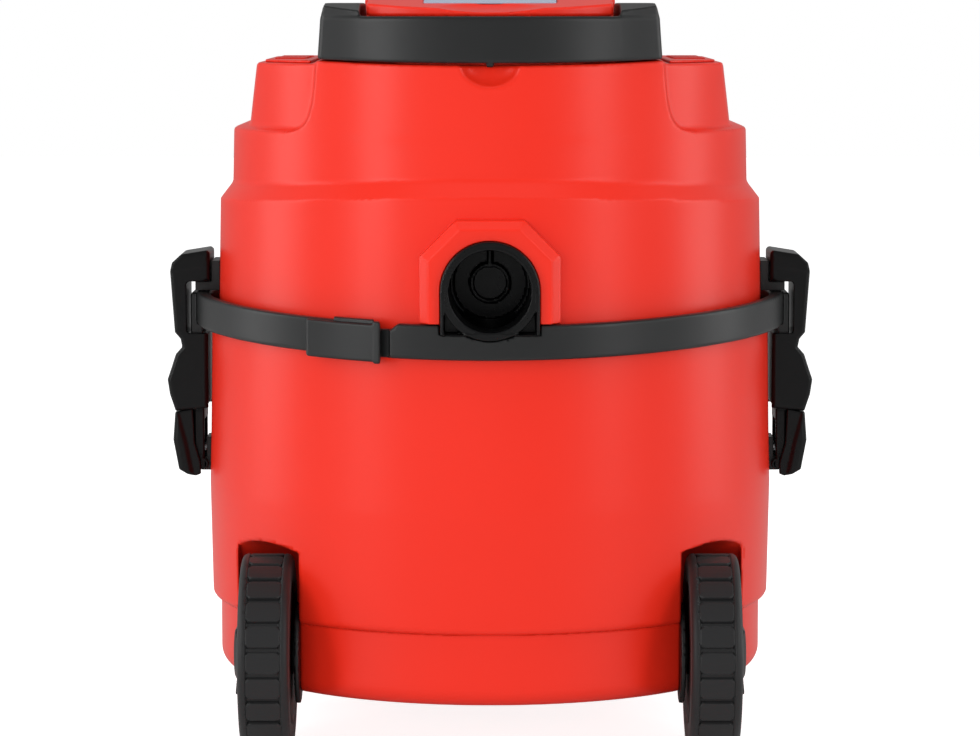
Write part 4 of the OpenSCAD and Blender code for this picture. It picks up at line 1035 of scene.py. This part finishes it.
@dataclass
class CarryHandle:
    """Black bail: a bowed grip across the back and two arms to the pivots."""

    outer: float = 174.5
    thick: float = 12.0
    half: float = 111.0
    arm: float = 28.0
    arch: float = 2.6
    pivot: Pair = (20.0, 465.5)

    def build(self) -> None:
        """Makes the handle's piece."""
        low, high = around_mm("carry_handle")
        half, bottom = self.half, low[2] + 2
        y, z = self.pivot
        top = z * 2 - bottom
        crest = top + 8.6
        bow = rod(Axis.Z, bottom, top, (0, 0), self.outer, 2.2)
        bow = bow.cut(rod(Axis.Z, 300, 600, (0, 0), self.outer - self.thick), 2.2)
        lean = [(-half, bottom - 9), (-half, bottom), (2.1 - half, top - 1.5), (4.8 - half, top + 9)]
        lean += [(-x, z) for x, z in lean[::-1]]
        bow = bow.meet(prism(Axis.Y, lean, -200, -60, 3.0), 2.5)
        side = [(-176, bottom), (-176, top), (-171, top), (-126, crest), (-28, crest), (-6, top), (y, top), (y, bottom)]
        arm = prism(Axis.X, side, half - self.arm, half, 2.0)
        arm = arm.meet(rod(Axis.Z, 300, 600, (0, 0), self.outer - 1.2), 1.0)
        arm = arm.join(rod(Axis.X, half - self.arm, half, self.pivot, (top - bottom) / 2, 2.0), 1.0)
        arm = arm.cut(rod(Axis.X, half - 3, 150, self.pivot, 8.5, 0.3), 0.6)
        handle = bow.join(arm.both_sides(), 1.5).meet(prism(Axis.Y, lean, -200, 90), 1.2)
        handle = handle.meet(Form(lambda p: bottom + self.arch * (p[:, 0] / half) ** 2 - p[:, 2]), 1.6)
        catch = block((-2.4, -self.outer + 1, bottom - 2.0), (2.4, -self.outer + 7, bottom + 2), 0.8)
        space = (low[0], low[1], low[2] - 2), (high[0], high[1], high[2] + 10)
        make("bail", 1.7, handle.join(catch, 0.6), space, "handle", "black_plastic", "carry_handle")


@dataclass
class Lid:
    """Red lid with a sloping rear half, finger scoop and hinge barrel."""

    half: float = 79.0
    foot: float = 480.5
    crest: float = 68.0
    rear: float = 152.0
    rear_rise: float = 5.5
    label: tuple[float, float, float] = (135.2, 82.8, 42.6)
    hinge: Pair = (44.0, 488.0)

    def build(self) -> None:
        """Makes the lid's piece."""
        low, high = around_mm("lid")
        z0, top, radius, half = self.foot, high[2] - 2, -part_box("lid")[0].y / MM, self.half
        slope = (top - z0 - self.rear_rise) / (self.rear - self.crest)
        outline = [(-170, z0), (-170, z0 + 2.6), (-self.rear, z0 + self.rear_rise), (-self.crest, top), (0, top),
                   (36, top - 5), (36, z0)]
        shell = prism(Axis.X, outline, -half, half, 1.4).meet(rod(Axis.Z, 300, 600, (0, 0), radius), 1.4)
        barrel = rod(Axis.X, -half, half, self.hinge, 5.0, 0.6)
        lid = shell.join(barrel.join(block((-half, 33, 485), (half, 44, 491), 0.8), 1.0), 1.5)
        lid = lid.cut(bowl((0.0, -radius - 2, 492.0), (48.0, 26.5, 9.0)), 0.5)
        under = [(-138, z0 - 9), (-138, z0 + 4), (-self.crest, top - 3), (0, top - 3), (32, top - 8), (32, z0 - 9)]
        hollow = prism(Axis.X, under, 3 - half, half - 3, 1.0).meet(rod(Axis.Z, 300, 600, (0, 0), radius - 20))
        back, front, side = self.label
        floor = [z0 + 4.5 + (self.rear - y) * slope for y in (back, front)]
        seat = [(-back, floor[0]), (-front, floor[1]), (-front, z0 + 25), (-back, z0 + 25)]
        seat = prism(Axis.X, seat, -side, side, 0.2)
        make("lid_cover", 1.7, lid.cut(hollow, 0.5).cut(seat, 0.3), (low, high), "lid", "red_plastic", "lid")


@dataclass
class RearWheel:
    """Black rear wheel: tyre with lugs on a dished, spoked hub."""

    lugs: int = 24
    groove: float = 2.4
    rim: float = 5.6
    seat: float = 46.1
    spokes: int = 6
    phase: float = 0.066

    def _tyre(self, centre: Pair, x0: float, x1: float, radius: float) -> Form:
        """The tyre, with a channel between its shoulders for the lugs."""

        def turned(inner: float, outer: float, start: float, end: float, edge: float) -> Form:
            """A ring between two radii and two places along the axle."""
            return lathe(Axis.X, [(inner, start), (outer, start), (outer, end), (inner, end)], centre, edge)

        r = radius - self.groove
        tyre = turned(self.seat, radius, x0, x1, 4.2).join(turned(self.seat, 54, x0 + 1, x1 - 1, 1.0), 1.0)
        return tyre.cut(turned(r, r + 9, x0 + self.rim, x1 - self.rim, 0.5), 0.8)

    def _lug(self, x0: float, x1: float, radius: float) -> bpy.types.Mesh:
        """One lug at the top of a wheel that is centred on the axis.

        Args:
            x0: The tyre's inner face.
            x1: Its outer face.
            radius: The tyre's radius over the lugs.

        Returns:
            The lug's mesh.
        """
        a, b, floor = x0 + self.rim - 0.9, x1 - self.rim + 0.9, radius - self.groove - 0.6
        low, high = radius - 0.9, radius - 0.15
        full = [(a, floor), (a, low), (a + 1.4, high), (b - 1.4, high), (b, low), (b, floor)]

        def drawn_in(width: float, ceiling: float) -> list[Pair]:
            """The full profile, narrower and no higher than the ceiling."""
            return [(x + (width if x < (x0 + x1) / 2 else -width), min(r, ceiling)) for x, r in full]

        half = [(0.25, full), (0.56, full), (0.78, drawn_in(2.2, radius)), (0.9, drawn_in(1.6, floor + 0.4))]
        reach = math.pi / self.lugs
        sections = [(-t * reach, shape) for t, shape in half[::-1]] + [(t * reach, shape) for t, shape in half]
        bm = bmesh.new()
        rows = []
        for t, profile in sections:
            up, along = math.cos(t + self.phase), math.sin(t + self.phase)
            rows.append([bm.verts.new((x * MM, r * along * MM, r * up * MM)) for x, r in profile])
        for one, two in zip(rows, rows[1:]):
            for i in range(len(one)):
                k = (i + 1) % len(one)
                bm.faces.new((one[i], one[k], two[k], two[i]))
        bm.faces.new(rows[0][::-1])
        bm.faces.new(rows[-1])
        bmesh.ops.recalc_face_normals(bm, faces=bm.faces)
        mesh = bpy.data.meshes.new("lug")
        bm.to_mesh(mesh)
        bm.free()
        return mesh

    def _hub(self, centre: Pair, x_out: float, x_in: float) -> Form:
        """The hub: rim, dished web with windows, ribs and boss; the outer side is at x_out."""
        sign = 1 if x_out > x_in else -1

        def at(depth: float) -> float:
            """A place that far in from the tyre's outer face."""
            return x_out - sign * depth

        def turned(edge: float, *outline: Pair) -> Form:
            """A turned piece, with depths measured in from the outer face."""
            pts = [(r, at(d)) for r, d in outline]
            return lathe(Axis.X, pts if sign < 0 else pts[::-1], centre, edge)

        def disc(edge: float, inner: float, outer: float, start: float, end: float) -> Form:
            """A disc or ring between two radii and two depths."""
            return turned(edge, (inner, start), (outer, start), (outer, end), (inner, end))

        rim, boss = disc(1.0, 40.5, 46.0, 0.0, 33.0), disc(1.0, -9, 13.5, -1.0, 38.0)
        web = turned(1.0, (-9, -3.6), (14, -3.6), (41, 4.0), (43, 8.0), (43, 12.0), (38, 11.0), (12, 3.0), (-9, 3.0))
        flange = disc(0.6, -9, 33, 35.0, 38.2).join(disc(0.6, -9, 45, 29, 32.5), 1.0)
        low, high = sorted((at(-9.0), at(24.0)))
        window = block((low, 18, -7.5), (high, 37.5, 7.5), 4.0).around(self.spokes, centre)
        hub = rim.join(web.cut(window, 1.5), 2.0).join(boss, 1.5).join(flange, 1.0)
        low, high = sorted((at(-2.6), at(9.0)))
        rib = block((low, 10, -1.6), (high, 41, 1.6), 0.7).around(self.spokes, centre)
        return hub.join(rib.turned(Axis.X, 180 / self.spokes, (0.0, *centre)), 1.2)

    def build(self, repeat: Repeat) -> None:
        """Makes both wheels' pieces."""
        rubber = FINISHES["tyre_rubber"].material()
        for side in SIDES:
            low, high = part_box(f"wheel_tyre_{side}")
            x0, x1 = low.x / MM, high.x / MM
            centre = ((low.y + high.y) / 2 / MM, (low.z + high.z) / 2 / MM)
            radius = max((high.y - low.y) / 2 / MM, centre[1])
            body, tyre, hub = f"wheel_{side}", f"wheel_tyre_{side}", f"wheel_hub_{side}"
            form = self._tyre(centre, x0, x1, radius)
            make(f"tyre_{side}", 1.7, form, around_mm(tyre), body, "tyre_rubber", tyre)
            tread = repeat.bake(repeat.ring, f"tread_{side}", self._lug(x0, x1, radius), Count=self.lugs,
                                Centre=(0.0, centre[0] * MM, centre[1] * MM), Axis=(1.0, 0.0, 0.0),
                                Step=2 * math.pi / self.lugs, Finish=rubber)
            place(f"tread_{side}", tread, body, "tyre_rubber").data.materials[0] = rubber
            form = self._hub(centre, *((x0, x1) if side == "left" else (x1, x0)))
            make(f"hub_{side}", 1.5, form, around_mm(hub, 7), body, "black_plastic", hub)


@dataclass
class SideClip:
    """Black side clip: a claw over the head's catch and the release lever below it."""

    half: float = 23.0
    at: float = -190.6
    low: float = 218.0
    nose: float = 301.4
    strap_slot: Pair = (-205.3, 266.5)
    hinge: Pair = (-195.6, 176.5)
    leg_y: float = 15.0
    lever_hinge: Pair = (-210.5, 209.0)
    lug_y: float = 11.15

    def _claw(self) -> Form:
        """The left claw."""
        a, w, low, nose = self.at, self.half, self.low, self.nose
        head = [(a - 18.1, nose + 18.4), (a - 24.4, nose + 12.6)]
        outline = [(a - 0.5, low - 2.7), (a - 0.5, nose), (-189.4, nose), (-189.4, nose + 19.5), (-191.1, nose + 21.2),
                   *head, (a - 25.8, nose + 6.6), (a - 22.9, low + 48.9), (a - 19.1, low + 44.5), (a - 18.0, low + 39),
                   (a - 22.4, low + 34), (a - 25.3, low + 25), (a - 28.1, low + 16.8), (a - 26.6, low + 6.8),
                   (a - 22.8, low - 4.7)]
        x, z = self.strap_slot
        claw = plate(outline, w, 2.8).cut(block((x, -60, z), (-150, 60, nose), 2.5), 0.6)
        cap = [(a - 25.9, nose + 6), (a - 2.6, nose + 9.6), (a + 0.4, nose + 19), (a - 0.9, nose + 21.2), *head]
        claw = claw.join(prism(Axis.Y, cap, -w, w, 1.2), 0.5)
        claw = claw.cut(block((-260, -w + 4, 0), (0, w - 4, low), 0.6), 0.5)
        x, z = self.hinge
        lx, lz = self.lever_hinge
        for m in (-1, 1):
            y0, y1 = m * self.leg_y - 2, m * self.leg_y + 2
            leg = block((-201.0, y0, z + 5), (-194.4, y1, low + 6), 0.6)
            leg = leg.join(rod(Axis.Y, y0, y1, self.hinge, 4, 0.4), 2.0)
            leg = leg.join(block((x - 5, y0, z - 2), (x, y1, z + 7), 0.6), 0.6)
            y0, y1 = m * self.lug_y - 1.85, m * self.lug_y + 1.85
            lug = rod(Axis.Y, y0, y1, self.lever_hinge, 3.4, 0.3)
            claw = claw.join(leg, 0.6).join(lug.join(block((lx - 1, y0, lz), (lx + 3.4, y1, low + 1), 0.2)))
        return claw.join(block((-200.6, -17, 206.5), (-194.2, 17, 213.6), 0.8), 0.6)

    def _lever(self) -> Form:
        """The left release lever: a rounded grip on a flat inner plate."""
        a, w = self.at, self.half
        x, z = self.hinge
        top = self.low - 5.6
        outer = [(a - 22.7, top), (a - 24.1, z + 17.2), (a - 20.4, z - 2.8), (a - 14.9, z - 6.1), (a - 9.4, z - 7.6)]
        inner = [(a - 5.9, z - 6.1), (a - 6, z + 1.5), (a - 10, z + 15.5), (a - 11, top + 2.5)]
        grip = plate(outer[:4] + [(-201.6, 170.0), (-205.9, 191.7), (-211.4, top)], w, 3.2)
        lever = plate(outer + inner, w - 1.6, 0.9).join(grip, 1.5)
        lx, lz = self.lever_hinge
        lever = lever.join(rod(Axis.Y, -9, 9, self.lever_hinge, 3.4, 0.3))
        hollow = block((lx + 3.9, -w + 4, 0), (0, w - 4, 500), 0.6)
        lever = lever.cut(hollow.join(block((lx - 0.8, -w + 4, 0), (0, w - 4, lz - 4.4), 0.6)), 0.5)
        for m in (-1, 1):
            y0, y1 = m * self.lug_y - 2.2, m * self.lug_y + 2.2
            slot = rod(Axis.Y, y0, y1, self.lever_hinge, 4.9).join(block((-260, y0, lz), (0, y1, 500)))
            lever = lever.cut(slot, 0.2)
        return lever

    def build(self) -> None:
        """Makes both clips' pieces."""
        for part, form in (("claw", self._claw()), ("lever", self._lever())):
            for side, shape in zip(SIDES, (form, form.mirrored())):
                name, node = f"{part}_{side}", f"clip_{part}_{side}"
                make(name, 1.15, shape, around_mm(node), name, "black_plastic", node, look="gloss_black")


# ---------- stage ----------


@dataclass(frozen=True)
class Lamp:
    """A soft box: where it stands, what it faces, its size and power, and whether gloss shows it."""

    name: str
    at: Triple
    aim: Triple
    size: Pair
    power: float
    glossy: bool

    def build(self) -> None:
        """Makes the lamp."""
        light = bpy.data.lights.new(self.name, "AREA")
        light.shape, light.energy = "RECTANGLE", self.power
        light.size, light.size_y = self.size
        lamp = bpy.data.objects.new(self.name, light)
        lamp.location = self.at
        lamp.rotation_euler = (Vector(self.aim) - Vector(self.at)).to_track_quat("-Z", "Y").to_euler()
        lamp.visible_glossy = self.glossy
        bpy.context.scene.collection.objects.link(lamp)


@dataclass
class Studio:
    """Camera, pale floor and soft lights."""

    eye: Triple = (0.0, -2.5, 0.4909)
    pitch: float = 84.28
    lens: float = 135.0
    sensor: float = 36.0
    floor_half: float = 9.0
    floor_shade: float = 0.74
    floor_glow: float = 0.84
    sky: float = 0.42
    lamps: tuple[Lamp, ...] = (
        Lamp("left_box", (-1.7, -1.5, 0.9), (0.0, 0.0, 0.3), (0.5, 1.5), 15.0, True),
        Lamp("right_box", (1.6, -1.5, 0.9), (0.0, 0.0, 0.3), (0.5, 1.5), 11.0, True),
        Lamp("left_rim", (-2.0, 0.2, 0.8), (0.0, 0.0, 0.3), (0.8, 1.8), 12.0, True),
        Lamp("right_rim", (2.0, 0.2, 0.8), (0.0, 0.0, 0.3), (0.8, 1.8), 12.0, True),
        Lamp("front_box", (-0.6, -3.4, 0.5), (0.0, 0.0, 0.2), (2.4, 1.0), 41.0, False),
        Lamp("top_box", (0.0, -0.4, 2.2), (0.0, 0.0, 0.3), (1.6, 1.2), 12.0, False),
    )

    def build(self) -> None:
        """Makes the stage round the vacuum."""
        scene = bpy.context.scene
        cam = bpy.data.objects.new("camera", bpy.data.cameras.new("camera"))
        cam.data.lens, cam.data.sensor_width = self.lens, self.sensor
        cam.location, cam.rotation_euler = self.eye, (math.radians(self.pitch), 0.0, 0.0)
        scene.collection.objects.link(cam)
        scene.camera = cam
        for lamp in self.lamps:
            lamp.build()
        self._floor()
        self._world()
        scene.view_settings.view_transform = "Standard"

    def _floor(self) -> None:
        """Pale floor that stays white to the camera and keeps a soft shadow."""
        mesh = bpy.data.meshes.new("floor")
        h = self.floor_half
        mesh.from_pydata([(-h, -h, 0), (h, -h, 0), (h, h, 0), (-h, h, 0)], [], [(0, 1, 2, 3)])
        floor = bpy.data.objects.new("floor", mesh)
        bpy.context.scene.collection.objects.link(floor)
        g = Graph("floor_white")
        place_of = g.add("ShaderNodeTexCoord").outputs["Object"]
        noise = g.wire(g.add("ShaderNodeTexNoise", {}, Vector=place_of, Scale=3.0))
        shader = g.add("ShaderNodeBsdfPrincipled", {}, Base_Color=(self.floor_shade,) * 3 + (1.0,),
                       Roughness=noise * 0.05 + 0.7)
        seen = g.wire(g.add("ShaderNodeLightPath"), "Is Camera Ray")
        glow = g.add("ShaderNodeEmission", {}, Color=(1.0, 1.0, 1.0, 1.0), Strength=seen * self.floor_glow)
        both = g.add("ShaderNodeAddShader", {}, in0=shader.outputs[0], in1=glow.outputs[0])
        g.add("ShaderNodeOutputMaterial", {}, Surface=both.outputs[0])
        mesh.materials.append(g.built)

    def _world(self) -> None:
        """Even sky, pure white where the camera sees it."""
        world = bpy.data.worlds.new("studio")
        bpy.context.scene.world = world
        world.use_nodes = True
        tree = world.node_tree
        tree.nodes.clear()
        path, see, glow, mix, out = (tree.nodes.new("ShaderNode" + kind) for kind in (
            "LightPath", "Background", "Background", "MixShader", "OutputWorld"))
        for node, strength in ((see, 1.0), (glow, self.sky)):
            node.inputs[0].default_value, node.inputs[1].default_value = (1.0, 1.0, 1.0, 1.0), strength
        for source, target in ((path.outputs["Is Camera Ray"], mix.inputs[0]), (glow.outputs[0], mix.inputs[1]),
                               (see.outputs[0], mix.inputs[2]), (mix.outputs[0], out.inputs[0])):
            tree.links.new(source, target)


def dress_frame() -> None:
    """Gives every CAD node its finish."""
    for part in frame["record"]["subparts"]:
        node = frame["nodes"][part["node"]]
        node.data.materials.clear()
        node.data.materials.append(FINISHES[part["material_slot"]].material())


def main() -> None:
    """Builds the whole picture."""
    logging.basicConfig(level=logging.INFO, format="%(name)s: %(message)s")
    Studio().build()
    dress_frame()
    repeat = Repeat()
    MotorHead().build(repeat)
    Tank().build()
    SeamBand().build()
    HoseInlet().build()
    CarryHandle().build()
    Lid().build()
    RearWheel().build(repeat)
    SideClip().build()


if __name__ == "__main__":
    main()
